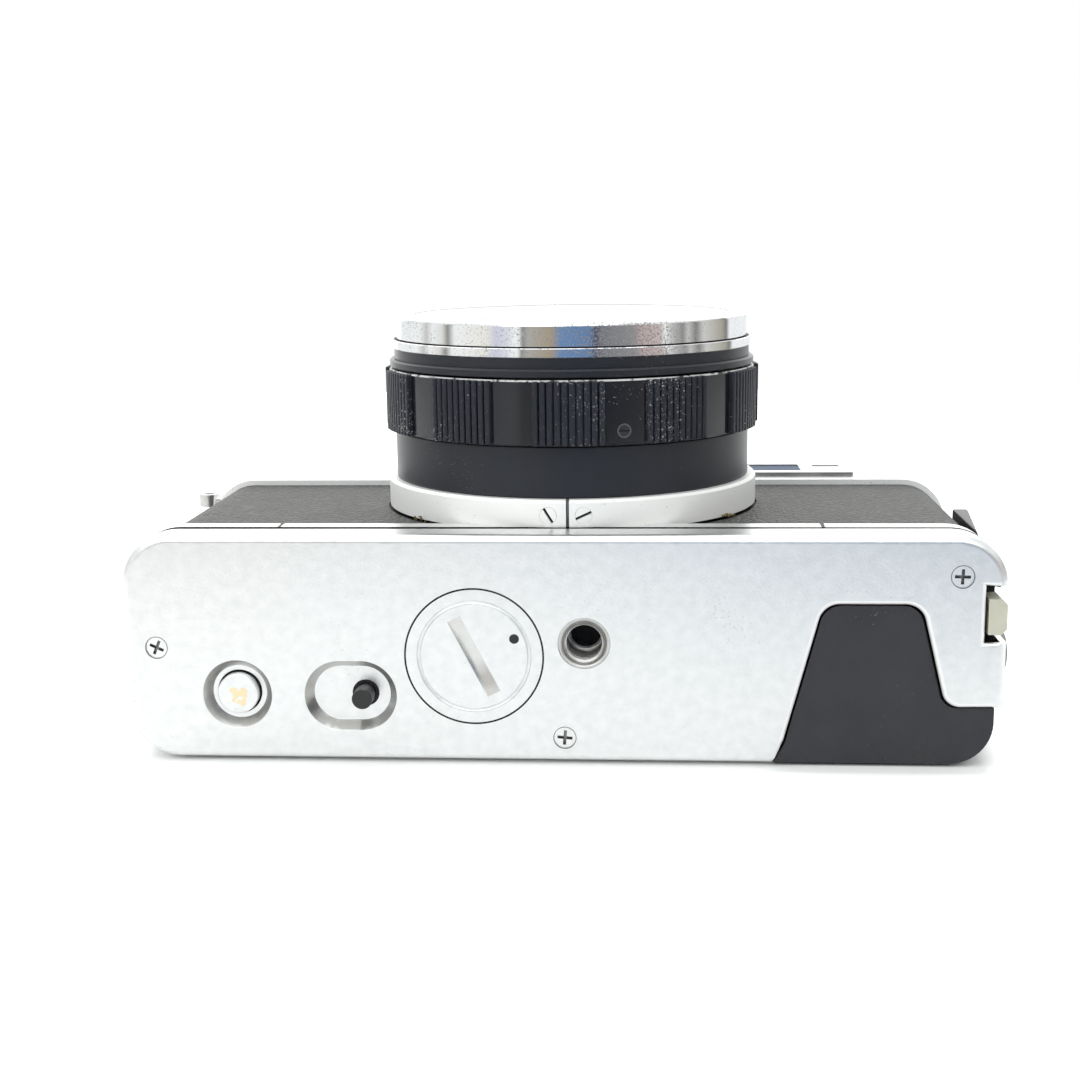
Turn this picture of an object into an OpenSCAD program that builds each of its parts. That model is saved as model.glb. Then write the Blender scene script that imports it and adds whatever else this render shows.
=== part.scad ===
// Half frame camera: an upright body with its lens towards -Y and its base on Z = 0.
// Sizes are in millimetres. The origin is on the base, at the tripod socket's axis.

/* [Body] */
// Width of the body, end to end
body_width = 128; // [126:1:132]
// Depth of the body, from the covers' front to the back plane
body_depth = 33.8; // [33.4:0.2:36]
// Height of the body, up to the deck
body_height = 70; // [69:0.5:74]
// Radius of the upright corners
corner_r = 7.5; // [6.5:0.5:8]
// Distance of the front of the covers from the middle of the drawing
front_h = 17.3; // [17.3:0.1:18.5]
// Thickness of the sheet of both covers
sheet = 0.9; // [0.7:0.1:1]
// Height of the bottom cover's wall
pan_height = 6.1; // [5.6:0.1:6.1]
// Rolled edge of the bottom cover
pan_edge_r = 1.2; // [0.9:0.1:1.4]
// Rolled edge of the top cover
deck_edge_r = 2.4; // [1.5:0.1:3]
// Height of the front edge of the top cover
front_top_z = 51; // [49:0.5:53]
// Height of the back edge of the top cover
back_top_z = 60.2; // [60:0.1:60.4]

/* [Base] */
// Tripod socket, right of the middle
tripod_x = 3.9; // [2:0.1:6]
// Tripod socket, back from the middle
tripod_y = -1.4; // [-3:0.1:0]
// Radius of the socket's thread wall
tripod_r = 2.6; // [2.5:0.05:2.7]
// Depth of the socket
tripod_depth = 6.5; // [5.5:0.5:7]
// Battery cover, right of the middle
battery_x = -12.15; // [-13:0.1:-11.5]
// Battery cover, back from the middle
battery_y = 0.65; // [-1:0.1:2]
// Radius of the battery cover
battery_r = 10; // [9.5:0.1:10.4]
// Radius of the button cell
cell_r = 7.8; // [7.5:0.1:7.8]
// Height of the button cell
cell_height = 6.1; // [5.8:0.1:6.2]
// Width of the coin slot
coin_slot_w = 2.1; // [1.6:0.1:2.6]
// Length of the coin slot
coin_slot_l = 12.6; // [11:0.1:13.5]
// Radius of the rewind button
rewind_button_r = 3.05; // [2.8:0.05:3.3]
// Radius of the check pin
check_pin_r = 1.5; // [1.3:0.05:1.7]
// Radius of the base screws' heads
base_screw_r = 1.6; // [1.4:0.05:1.8]

/* [Lens] */
// Lens axis, right of the middle
lens_x = 0.57; // [-0.5:0.1:1.5]
// Height of the lens axis
lens_z = 36; // [35.6:0.1:36.4]
// Radius of the silver band
band_r = 29.9; // [29.4:0.1:29.9]
// Radius of the black barrel
barrel_r = 28.6; // [28:0.1:29]
// Radius of the focus ring over its ribs
focus_r = 30.2; // [29.6:0.1:30.6]
// Number of grips round the focus ring
focus_grips = 11; // [8:1:12]
// Ribs in one grip
grip_ribs = 10; // [7:1:11]
// Depth of a rib
rib_depth = 0.55; // [0.4:0.05:0.7]
// Radius of the chrome front ring
chrome_r = 28.1; // [27.6:0.1:28.4]
// Radius of the filter thread's wall
filter_r = 23.6; // [23:0.1:24]
// Radius of the front glass
glass_r = 13; // [11:0.5:13.5]
// How far the front cell travels when focused close
focus_travel = 1.2; // [0.8:0.1:1.4]

/* [Film] */
// Radius of the film cassette bay
bay_r = 13.2; // [12.8:0.1:13.4]
// Width of the half frame gate
gate_w = 17.5; // [17:0.5:18]
// Height of the half frame gate
gate_h = 24; // [23:0.5:24.5]
// Radius of the film sprocket
sprocket_r = 6.05; // [5.9:0.05:6.1]

/* [Top] */
// Radius of the shutter button
shutter_r = 3.6; // [3:0.1:4]
// Radius of the rewind knob
rewind_r = 9.2; // [8.5:0.1:9.6]
// Length of the advance lever
lever_length = 27; // [24:0.5:29]

/* [Fits] */
// Radial gap of a turning fit
run_gap = 0.1; // [0.06:0.01:0.12]
// Gap between pieces that move past each other
move_gap = 0.25; // [0.2:0.05:0.3]
// Gap round a fixed piece that sits in a hole
seat_gap = 0.02; // [0.01:0.01:0.04]

/* [Hidden] */
$fn = 64;
half_w = body_width / 2;
back_y = body_depth - front_h;
socket_chamfer = 0.6;
trim_in = 0.1;
leather_t = 0.5;
casting_in = 1.4;
leather_in = casting_in - leather_t;
trim_z = pan_height + 0.3;
trim_top = 10.2;
casting_z = 3.4;
casting_top = 60;
film_back = 5.9;
film_y = back_y - film_back;
door_seat_y = film_y + 2;
door_in = 1.3;
door_t = 1.4;
door_z = pan_height + 0.5;
door_top = back_top_z - 0.6;
tongue_z = 0.8;
tongue_t = 1.7;
hinge_x = -half_w + 6.5;
hinge_y = back_y - 1.6;
hinge_r = 1.6;
hinge_pin_r = 0.8;
door_edge_x = hinge_x + 1.9;
bay_x = half_w - 18.7;
bay_y = -0.8;
bay_z0 = lens_z - 23.6;
bay_z1 = casting_top - 0.9;
spool_x = -half_w + 18;
spool_y = 0.5;
spool_r = 6;
takeup_r = 11.2;
sprocket_x = -half_w + 38.4;
sprocket_y = film_y - sprocket_r - 0.1;
lens_hole_r = 22.3;
lens_cut_r = band_r + 0.25;
case_r = lens_hole_r - seat_gap;
case_h0 = 4;
seat_h = front_h - casting_in;
band_w = 4.6;
barrel_l = 7.65;
band_h0 = seat_h + 0.85;
band_h1 = band_h0 + band_w;
barrel_h1 = band_h1 + barrel_l;
focus_h0 = barrel_h1 + 0.15;
focus_l = 9.65;
focus_h1 = focus_h0 + focus_l;
front_h0 = focus_h1 + move_gap;
flange_t = 1.25;
neck_t = 1.6;
chrome_foot = 1.55;
chrome_l = 3.75;
front_h1 = front_h0 + flange_t;
front_h2 = front_h1 + neck_t;
chrome_h1 = front_h2 + chrome_foot;
chrome_h2 = chrome_h1 + chrome_l;
glass_t = 5.6;
glass_dome = 34;
glass_h0 = front_h2 - glass_t - 0.3;
cell_h0 = focus_h0 - 8.15;
band_screw_h = (band_h0 + band_h1) / 2;
grub_h = focus_h0 + 2.15;
name_t = 1.4;
tube_r = 26;
cell_bore_r = 21.9;
aperture_r = 8.5;
leaf_r = 9.4;
leaf_pivot = [-14.2, 7];
leaf_pin_r = 0.7;
rewind_button_x = -half_w + 16.6;
rewind_button_y = 6.6;
recess_depth = 1.6;
pin_x = battery_x - 16.35;
pin_y = 6.7;
pin_recess_depth = 1.7;
pin_recess_x0 = pin_x - 3.6;
pin_recess_x1 = pin_x - 0.4;
latch_x = half_w - 2.75;
latch_y0 = -8.1;
latch_y1 = -2.9;
latch_travel = 3;
finder_x0 = 17;
finder_x1 = half_w - 24;
finder_z0 = 57;
finder_z1 = 64.5;
panel_x1 = half_w - 15.2;
panel_z0 = 55;
panel_z1 = 66.4;
panel_t = 0.7;
eye_x = 27;
eye_z = back_top_z + 4.4;
shutter_x = -half_w + 10;
shutter_y = -10;
counter_x = -half_w + 34.5;
counter_y = -7.5;
deck_z = body_height;
base_screw_at = [[-half_w + 4.8, -0.4], [1, back_y - 3.65], [half_w - 6.6, -front_h + 5.9]];
base_screw_turn = [24, 5, 2];
// Points of a round corner at p, between the lines to a and b.
function unit(v) = v / norm(v);
function corner(a, p, b, r) = let(
        u = unit(a - p), v = unit(b - p), half = acos(u * v) / 2,
        c = p + unit(u + v) * r / sin(half),
        s = p + u * r / tan(half) - c, e = p + v * r / tan(half) - c,
        a0 = atan2(s[1], s[0]), d0 = atan2(e[1], e[0]) - a0,
        d = d0 > 180 ? d0 - 360 : d0 < -180 ? d0 + 360 : d0)
    [for (i = [0:8]) c + r * [cos(a0 + d * i / 8), sin(a0 + d * i / 8)]];
tongue_x = half_w - 33.6;
tongue_back = back_y - 8.75;
latch_notch_x = half_w - 3.2;
tongue_at = [[tongue_x, back_y + 1.1], [tongue_x + 2.2, back_y - 3], [tongue_x + 7.7, back_y - 23.8],
    [tongue_x + 21.6, back_y - 23.8], [tongue_x + 25.32, tongue_back + 0.1], [tongue_x + 31.8, tongue_back]];
tongue_corner = [0, 5, 3, 3, 2.6];
tongue_cut = concat([tongue_at[0]],
    [for (i = [1:4]) each corner(tongue_at[i - 1], tongue_at[i], tongue_at[i + 1], tongue_corner[i])],
    [tongue_at[5]]);
silver = [0.80, 0.81, 0.83];
black = [0.08, 0.08, 0.09];
leather_black = [0.14, 0.14, 0.14];
steel = [0.62, 0.63, 0.65];
chrome = [0.88, 0.89, 0.90];
cream = [0.80, 0.79, 0.70];
glass = [0.55, 0.66, 0.78, 0.5];
brass = [0.76, 0.62, 0.32];

// Moves the drawing so that the tripod socket's axis is at the origin.
module place() {
    translate([-tripod_x, -tripod_y, 0])
        children();
}

// Plan outline of the body, drawn in from its edge.
module plan(i = 0) {
    for (s = [-1, 1]) {
        translate([s * (half_w - corner_r), -(front_h - corner_r)])
            circle(corner_r - i);
        translate([s * (half_w - corner_r), back_y - corner_r])
            circle(corner_r - i);
    }
    translate([-(half_w - i), -(front_h - corner_r)])
        square([2 * (half_w - i), body_depth - 2 * corner_r]);
    translate([-(half_w - corner_r), -(front_h - i)])
        square([2 * (half_w - corner_r), body_depth - 2 * i]);
}

// Upright block of the plan outline between two heights.
module block(i, z0, z1) {
    translate([0, 0, z0])
        linear_extrude(z1 - z0)
            plan(i);
}

// Box given by two corners.
module box(a, b) {
    translate(a)
        cube([b[0] - a[0], b[1] - a[1], b[2] - a[2]]);
}

// Upright round rod or hole between two heights.
module rod(x, y, z0, z1, r) {
    translate([x, y, z0])
        cylinder(h = z1 - z0, r = r);
}

// Section with two round corners at its foot.
module foot_section(l, h, e) {
    translate([e, 0])
        square([l - 2 * e, h]);
    translate([0, e])
        square([l, h - e]);
    for (x = [e, l - e])
        translate([x, e])
            circle(e);
}

// Block of the whole plan outline with a rolled edge round its foot.
module rolled_block(h, e) {
    for (s = [-1, 1])
        for (y = [-(front_h - corner_r), back_y - corner_r])
            translate([s * (half_w - corner_r), y, 0])
                rotate_extrude()
                    intersection() {
                        translate([-corner_r, 0])
                            foot_section(2 * corner_r, h, e);
                        square([corner_r, h]);
                    }
    translate([-(half_w - corner_r), -front_h, 0])
        rotate([90, 0, 90])
            linear_extrude(2 * (half_w - corner_r))
                foot_section(body_depth, h, e);
    translate([-half_w, back_y - corner_r, 0])
        rotate([90, 0, 0])
            linear_extrude(body_depth - 2 * corner_r)
                foot_section(body_width, h, e);
}

// Turns a drawing so that its height points out of the lens.
module on_lens() {
    translate([lens_x, 0, lens_z])
        rotate([90, 0, 0])
            children();
}

// Ring on the lens axis, from one distance to another.
module lens_ring(h0, h1, r_out, r_in) {
    on_lens()
        translate([0, 0, h0])
            difference() {
                cylinder(h = h1 - h0, r = r_out);
                translate([0, 0, -1])
                    cylinder(h = h1 - h0 + 2, r = r_in);
            }
}

// Round plug on the lens axis.
module lens_plug(h0, h1, r) {
    on_lens()
        translate([0, 0, h0])
            cylinder(h = h1 - h0, r = r);
}

// Screw with a countersunk cross head, head down.
module base_screw() {
    difference() {
        union() {
            cylinder(h = 0.5, r = base_screw_r);
            translate([0, 0, 0.5])
                cylinder(h = 0.7, r1 = base_screw_r, r2 = 0.9);
            translate([0, 0, 1.2])
                cylinder(h = 5.2, r = 0.9);
        }
        for (a = [0, 90])
            rotate([0, 0, a])
                translate([-1.1, -0.22, -0.1])
                    cube([2.2, 0.44, 0.8]);
    }
}

// Cast frame: film bays, half frame gate, light tunnel and lens seat.
module body_casting() {
    color(black)
        difference() {
            union() {
                difference() {
                    block(casting_in, casting_z, casting_top);
                    box([door_edge_x - 1.9 - hinge_r - 0.3, door_seat_y, pan_height],
                        [half_w + 1, back_y + 1, casting_top + 1]);
                    box([tongue_x + 0.1, door_seat_y, casting_z - 1], [half_w + 1, back_y + 1, pan_height + 1]);
                    box([half_w - 5.6, tongue_back - 0.55, casting_z - 1], [half_w + 1, back_y + 1, casting_top + 1]);
                }
                for (z = [[8, 13.8], [26.2, 41.8], [54.2, 59]]) {
                    rod(hinge_x, hinge_y, z[0], z[1], hinge_r);
                    box([hinge_x - hinge_r - 0.6, hinge_y - 2.5, z[0]], [hinge_x, hinge_y, z[1]]);
                }
            }
            // hinge pin
            rod(hinge_x, hinge_y, 7, casting_top + 1, hinge_pin_r);
            // cassette bay with its rewind fork above and hub hole below
            rod(bay_x, bay_y, bay_z0, bay_z1, bay_r);
            box([bay_x - bay_r, bay_y, bay_z0], [bay_x + bay_r, back_y + 1, bay_z1]);
            rod(bay_x, bay_y, casting_z - 1, bay_z0 + 1, 5.5);
            rod(bay_x, bay_y, bay_z1 - 1, casting_top + 1, 2.2 + move_gap);
            // take-up bay
            rod(spool_x, spool_y, bay_z0, bay_z1, takeup_r);
            box([spool_x - takeup_r, spool_y, bay_z0], [spool_x + takeup_r, back_y + 1, bay_z1]);
            rod(spool_x, spool_y, bay_z1 - 1, casting_top + 1, 2 + move_gap);
            rod(spool_x, spool_y, bay_z0 - 2, bay_z0 + 1, 2 + move_gap);
            // sprocket bay
            rod(sprocket_x, sprocket_y, bay_z0, bay_z1, sprocket_r + 1.5);
            rod(sprocket_x, sprocket_y, bay_z0 - 2, bay_z0 + 1, 1.5 + move_gap);
            // film channel
            box([bay_x - bay_r + 1, film_y, lens_z - 18], [bay_x, back_y, lens_z + 18]);
            box([spool_x, film_y, lens_z - 18], [bay_x, back_y, lens_z + 18]);
            // gate, light tunnel and lens seat
            box([lens_x - gate_w / 2, -5, lens_z - gate_h / 2],
                [lens_x + gate_w / 2, back_y, lens_z + gate_h / 2]);
            on_lens()
                translate([0, 0, case_h0])
                    cylinder(h = 20, r = lens_hole_r);
            on_lens()
                translate([0, 0, -6.5])
                    cylinder(h = 12, r = 12.6);
            // battery chamber, tripod bush, base buttons and screws
            rod(battery_x, battery_y, casting_z - 1, casting_z + cell_height + 1.3, cell_r + 0.5);
            rod(battery_x, battery_y, casting_z - 1, casting_z + 0.4, battery_r - 0.8);
            rod(tripod_x, tripod_y, casting_z - 1, sheet + tripod_depth + 1, tripod_r + 2.4 + seat_gap);
            rod(rewind_button_x, rewind_button_y, casting_z - 1, 8.6, 1.9 + move_gap);
            rod(pin_x, pin_y, casting_z - 1, 8.6, check_pin_r + move_gap);
            for (p = base_screw_at)
                rod(p[0], p[1], casting_z - 1, 7, 0.9 + seat_gap);
            // seat of the strap lug
            translate([-half_w + 5, -13.5, 53])
                rotate([0, -90, 0])
                    cylinder(h = 8, r = 1 + seat_gap);
            // latch channel in the right end
            box([latch_x - 0.3, latch_y0 - 0.4, casting_z - 1],
                [half_w, latch_y1 + 0.4, 41.2 + latch_travel]);
            // sync socket
            translate([half_w - 6, 2.6, 12])
                rotate([0, 90, 0])
                    cylinder(h = 8, r = 2.2 + seat_gap);
        }
}

// Silver pan under the body, with its pressed recesses.
module bottom_cover() {
    color(silver)
        difference() {
            union() {
                difference() {
                    rolled_block(pan_height, pan_edge_r);
                    block(sheet, sheet, pan_height + 1);
                }
                rod(rewind_button_x, rewind_button_y, 0.2, recess_depth + sheet, 5.2);
                for (x = [pin_recess_x0, pin_recess_x1])
                    rod(x, pin_y, 0.2, pin_recess_depth + sheet, 5.27);
                box([pin_recess_x0, pin_y - 5.27, 0.2],
                    [pin_recess_x1, pin_y + 5.27, pin_recess_depth + sheet]);
                for (p = base_screw_at)
                    rod(p[0], p[1], 0.2, casting_z, base_screw_r + 0.9);
            }
            // battery cover and tripod bush
            rod(battery_x, battery_y, -1, casting_z, battery_r + move_gap / 2);
            rod(tripod_x, tripod_y, -1, casting_z, tripod_r + 1.2 + seat_gap);
            // dish of the rewind button
            translate([rewind_button_x, rewind_button_y, -0.01])
                cylinder(h = recess_depth + 0.01, r1 = 5.2, r2 = 4.05);
            rod(rewind_button_x, rewind_button_y, -1, casting_z, rewind_button_r + move_gap);
            // long dish of the check pin
            for (x = [pin_recess_x0, pin_recess_x1])
                translate([x, pin_y, -0.01])
                    cylinder(h = pin_recess_depth + 0.01, r1 = 5.27, r2 = 4.1);
            translate([pin_recess_x0, pin_y, -0.01])
                rotate([90, 0, 90])
                    linear_extrude(pin_recess_x1 - pin_recess_x0)
                        polygon([[-5.27, 0], [5.27, 0], [4.1, pin_recess_depth + 0.01],
                            [-4.1, pin_recess_depth + 0.01]]);
            rod(pin_x, pin_y, -1, casting_z, check_pin_r + move_gap);
            for (p = base_screw_at) {
                rod(p[0], p[1], -1, 0.65, base_screw_r + 0.02);
                translate([p[0], p[1], 0.65])
                    cylinder(h = 0.7, r1 = base_screw_r + 0.02, r2 = 0.92);
                rod(p[0], p[1], 0, casting_z + 1, 0.92);
            }
            // opening for the door's tongue and corner
            translate([0, 0, -1])
                linear_extrude(pan_height + 2)
                    polygon(concat(tongue_cut, [[half_w + 2, tongue_back], [half_w + 2, back_y + 2],
                        [tongue_x, back_y + 2]]));
            // notch for the latch
            box([latch_notch_x, latch_y0 - 2, -1], [half_w + 2, latch_y1 + 1.2, pan_height + 1]);
        }
}

// Silver cover over the works, with an arch over the lens.
module top_cover() {
    color(silver)
        difference() {
            translate([0, 0, deck_z])
                mirror([0, 0, 1])
                    rolled_block(deck_z - front_top_z, deck_edge_r);
            difference() {
                block(sheet, front_top_z - 1, deck_z - sheet - 0.3);
                rod(-half_w + 5, 2, casting_top, deck_z, 2);
                rod(half_w - 7, -4, casting_top, deck_z, 2);
                rod(counter_x - 3.2, counter_y, deck_z - 4.2, deck_z, 1.2);
                rod(counter_x - 3.2, counter_y, deck_z - 5, deck_z - 4.2, 2);
            }
            box([-half_w - 1, 6.5, front_top_z - 1], [half_w + 1, back_y + 1, back_top_z]);
            on_lens()
                translate([0, 0, 0])
                    cylinder(h = 30, r = lens_cut_r);
            // deck holes
            rod(shutter_x, shutter_y, deck_z - 4, deck_z + 1, shutter_r + 1.9 + seat_gap);
            rod(counter_x, counter_y, deck_z - 3, deck_z + 1, 3.4);
            rod(spool_x, spool_y, deck_z - 4, deck_z + 1, 2 + move_gap);
            rod(bay_x, bay_y, deck_z - 4, deck_z + 1, 2.2 + move_gap);
            // finder and eyepiece openings
            box([finder_x0, -front_h - 1, finder_z0], [finder_x1, -front_h + 3, finder_z1]);
            box([panel_x1 - 6.4, -front_h - 1, finder_z0 + 0.8],
                [panel_x1 - 1.6, -front_h + 3, finder_z1 - 0.8]);
            box([eye_x - 7, back_y - 3, eye_z - 3.6], [eye_x + 7, back_y + 1, eye_z + 3.6]);
            // strap lug post
            translate([-half_w + 6, -13.5, 53])
                rotate([0, -90, 0])
                    cylinder(h = 10, r = 1 + seat_gap);
        }
}

// Silver strip between the bottom cover and the leather, in three lengths.
module front_trim() {
    color(silver)
        difference() {
            block(trim_in, trim_z, trim_top);
            block(casting_in, trim_z - 1, trim_top + 1);
            box([-half_w - 1, 5, trim_z - 1], [half_w + 1, back_y + 1, trim_top + 1]);
            on_lens()
                cylinder(h = 30, r = lens_cut_r);
            for (x = [-half_w + 22.1, half_w - 25.4])
                box([x - 0.25, -front_h - 1, trim_z - 1], [x + 0.25, -10, trim_top + 1]);
            box([latch_x - 0.3, latch_y0 - 0.4, trim_z - 1], [half_w + 1, latch_y1 + 0.4, trim_top + 1]);
            translate([half_w - 6, 2.6, 12])
                rotate([0, 90, 0])
                    cylinder(h = 9, r = 3.1);
        }
}

// Leather round the front and both ends.
module front_leather() {
    color(leather_black)
        difference() {
            block(leather_in, trim_top + 0.1, front_top_z - 0.1);
            block(casting_in, trim_top - 1, front_top_z + 1);
            box([-half_w - 1, 5, trim_top - 1], [half_w + 1, back_y + 1, front_top_z + 1]);
            on_lens()
                cylinder(h = 30, r = lens_cut_r);
            box([latch_x - 0.3, latch_y0 - 0.4, trim_top - 1],
                [half_w + 1, latch_y1 + 0.4, 41.2 + latch_travel]);
            translate([half_w - 6, 2.6, 12])
                rotate([0, 90, 0])
                    cylinder(h = 9, r = 3.1);
        }
}

// Three cross head screws that hold the bottom cover.
module base_screws() {
    color(steel)
        for (i = [0:2])
            translate([base_screw_at[i][0], base_screw_at[i][1], 0.15])
                rotate([0, 0, base_screw_turn[i]])
                    base_screw();
}

// Threaded bush of the tripod socket.
module tripod_bush() {
    color(steel)
        difference() {
            union() {
                rod(tripod_x, tripod_y, 0.05, sheet + 0.5, tripod_r + 1.2);
                rod(tripod_x, tripod_y, sheet, sheet + tripod_depth + 0.9, tripod_r + 2.4);
            }
            rod(tripod_x, tripod_y, -1, tripod_depth + socket_chamfer, tripod_r);
            translate([tripod_x, tripod_y, 0.04])
                cylinder(h = socket_chamfer, r1 = tripod_r + 0.95, r2 = tripod_r);
            rod(tripod_x, tripod_y, 1, sheet + tripod_depth + 2, 1.6);
        }
}

// Button cell in the chamber behind its cover.
module button_cell() {
    color(steel)
        rod(battery_x, battery_y, casting_z + 0.5, casting_z + 0.5 + cell_height, cell_r);
}

// Sprung contact over the button cell.
module battery_contact() {
    color(brass) {
        rod(battery_x, battery_y, casting_z + cell_height + 0.55, casting_z + cell_height + 1.3, 3);
    }
}

// Coin slotted cover of the button cell.
module battery_cover() {
    color(silver)
        difference() {
            union() {
                rod(battery_x, battery_y, 0, sheet + 0.2, battery_r);
                rod(battery_x, battery_y, sheet, casting_z + 0.3, battery_r - 1.2);
            }
            translate([battery_x, battery_y, 0])
                rotate_extrude()
                    translate([8.1, 0])
                        circle(0.3, $fn = 24);
            translate([battery_x, battery_y, -18.8])
                rotate([90, 0, 63])
                    translate([0, 0, -coin_slot_w / 2])
                        intersection() {
                            cylinder(h = coin_slot_w, r = 20);
                            translate([-coin_slot_l / 2, 0, -1])
                                cube([coin_slot_l, 30, coin_slot_w + 2]);
                        }
            rod(battery_x + 5.9, battery_y - 2.69, -1, 0.35, 0.7);
        }
}

// Button that frees the film for rewinding.
module rewind_button() {
    color(chrome) {
        rod(rewind_button_x, rewind_button_y, 0.2, 2, rewind_button_r);
        rod(rewind_button_x, rewind_button_y, 2, 6.8, 1.9);
    }
}

// Spring loaded pin that checks the cell.
module check_pin() {
    color(black)
        rod(pin_x, pin_y, 0.05, 6.6, check_pin_r);
}

// Sliding bar that locks the rear door.
module latch_bar() {
    color(cream) {
        difference() {
            box([latch_x, latch_y0, 0.3], [half_w - 0.1, latch_y1, pan_height - 0.4]);
            for (y = [[latch_y0, 1], [latch_y1, -1]])
                translate([half_w - 0.1, y[0], 0])
                    rotate([0, 0, 45])
                        cube([1.1, 1.1, 30], center = true);
        }
        box([latch_x, latch_y0 + 0.2, pan_height - 1], [latch_x + 1, latch_y1 - 0.2, 40]);
        box([latch_x + 0.5, latch_y0 + 0.8, 22], [half_w - 0.6, latch_y1 - 0.8, 39]);
    }
}

// Wedge shaped finger catch of the latch.
module latch_catch() {
    color(black)
        translate([0, latch_y1, 0])
            rotate([90, 0, 0])
                linear_extrude(latch_y1 + 13.9)
                    polygon([[half_w - 0.6, 20], [half_w + 1.8, 40], [half_w + 1.8, 41],
                        [half_w - 0.6, 41]]);
}

// Flash socket in the right end.
module sync_socket() {
    color(steel)
        translate([half_w - 6, 2.6, 12])
            rotate([0, 90, 0])
                difference() {
                    union() {
                        cylinder(h = 6, r = 2.2);
                        translate([0, 0, 6 - leather_in])
                            cylinder(h = 3, r = 3);
                    }
                    translate([0, 0, 4])
                        cylinder(h = 9, r = 1.7);
                    translate([0, 0, 8.1])
                        cylinder(h = 1, r = 2.2);
                }
}

// Strap eye on the left end.
module strap_lug() {
    color(steel)
        difference() {
            union() {
                translate([-half_w + 5, -13.5, 53])
                    rotate([0, -90, 0])
                        cylinder(h = 5.2, r = 1);
                translate([-half_w - 1.4, -14.6, 53])
                    rotate([-90, 0, 0])
                        cylinder(h = 2.2, r = 1.75);
            }
            translate([-half_w - 1.4, -17, 53])
                rotate([-90, 0, 0])
                    cylinder(h = 7, r = 0.9);
        }
}

// Hinged back with a corner and a tongue that reach under the cassette bay.
module rear_door() {
    color(black)
        difference() {
            union() {
                difference() {
                    union() {
                        block(door_in, door_z, door_top);
                        box([door_edge_x + 1, back_y - door_in - 0.5, door_z + 1],
                            [half_w - corner_r, back_y, door_top - 1]);
                        intersection() {
                            translate([0, door_in, 0])
                                block(door_in, tongue_z, door_z + 1);
                            translate([0, 0, tongue_z])
                                linear_extrude(door_z)
                                    polygon(concat(
                                        [for (p = tongue_cut) [p[0] + (p[0] < tongue_x + 14.6 ? 0.3 : -0.3), p[1] + 0.3]],
                                        [[half_w + 2, tongue_back + 0.3], [half_w + 2, back_y + 2],
                                            [tongue_x + 0.3, back_y + 2]]));
                        }
                    }
                    block(door_in + door_t, tongue_z + tongue_t, door_top + 1);
                    box([-half_w - 1, -front_h - 1, tongue_z + tongue_t],
                        [half_w - 5.4, door_seat_y + 0.3, door_top + 1]);
                    box([half_w - 6, -front_h - 1, tongue_z + tongue_t], [half_w + 1, tongue_back + 0.3, door_top + 1]);
                    box([-half_w - 1, -front_h - 1, -1], [door_edge_x, back_y + 1, door_top + 1]);
                }
                for (z = [[14, 26], [42, 54]]) {
                    rod(hinge_x, hinge_y, z[0], z[1], hinge_r);
                    box([hinge_x, hinge_y - 0.8, z[0]], [door_edge_x + 1, hinge_y + 0.3, z[1]]);
                }
            }
            rod(hinge_x, hinge_y, 0, casting_top + 2, hinge_pin_r + run_gap);
            translate([0, 1, 0])
                plate_studs(1 + 0.15);
        }
}

// Leather on the rear door.
module door_leather() {
    color(leather_black)
        box([door_edge_x + 1.5, back_y, door_z + 1.5],
            [half_w - corner_r - 0.5, back_y + leather_t, door_top - 1.5]);
}

// Plate that keeps the film flat on the gate.
module pressure_plate() {
    color(black)
        union() {
            box([lens_x - 19, film_y + 0.35, lens_z - 16.5],
                [lens_x + 19, film_y + 1.25, lens_z + 16.5]);
            plate_studs(1);
        }
}

// Studs on the back of the pressure plate, which slide in the door.
module plate_studs(r) {
    for (x = [-16, 16])
        translate([lens_x + x, film_y + 1, lens_z])
            rotate([-90, 0, 0])
                cylinder(h = back_y - door_in - film_y - 1.9, r = r);
}

// Bowed strip behind the pressure plate.
module plate_spring() {
    color(steel)
        box([lens_x - 14, back_y - door_in - door_t - 0.25, lens_z - 4],
            [lens_x + 14, back_y - door_in - door_t, lens_z + 4]);
}

// Pin of the door's hinge.
module hinge_pin() {
    color(steel)
        rod(hinge_x, hinge_y, door_z + 1.4, casting_top - 1, hinge_pin_r);
}

// Spool that takes up the film.
module take_up_spool() {
    color(black)
        difference() {
            union() {
                rod(spool_x, spool_y, bay_z0 + 0.6, bay_z1 - 0.6, spool_r);
                rod(spool_x, spool_y, lens_z - 20, lens_z - 18, 9.4);
                rod(spool_x, spool_y, lens_z + 18, lens_z + 20, 9.4);
                rod(spool_x, spool_y, bay_z0 - 1.6, deck_z - sheet - 1.5, 2);
            }
            box([spool_x - 0.9, spool_y, lens_z - 15], [spool_x + 0.9, spool_y + 10, lens_z + 15]);
        }
}

// Toothed roller that draws the film on by its holes.
module film_sprocket() {
    color(steel) {
        rod(sprocket_x, sprocket_y, bay_z0 - 1.6, bay_z1 - 0.6, 1.5);
        rod(sprocket_x, sprocket_y, lens_z - 17, lens_z + 17, sprocket_r - 1.2);
        for (z = [lens_z - 15.6, lens_z + 12.4]) {
            rod(sprocket_x, sprocket_y, z, z + 3.2, sprocket_r);
            for (a = [0:45:315])
                translate([sprocket_x, sprocket_y, z + 1.6])
                    rotate([0, 0, a + 22.5])
                        translate([sprocket_r - 0.3, 0, 0])
                            cube([2.2, 1.1, 1.6], center = true);
        }
    }
}

// Shaft and fork that wind the film back.
module rewind_shaft() {
    color(steel) {
        rod(bay_x, bay_y, bay_z1 - 5, deck_z + 1.4, 2.2);
        box([bay_x - 2.6, bay_y - 0.6, bay_z1 - 8], [bay_x + 2.6, bay_y + 0.6, bay_z1 - 4]);
    }
}

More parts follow.
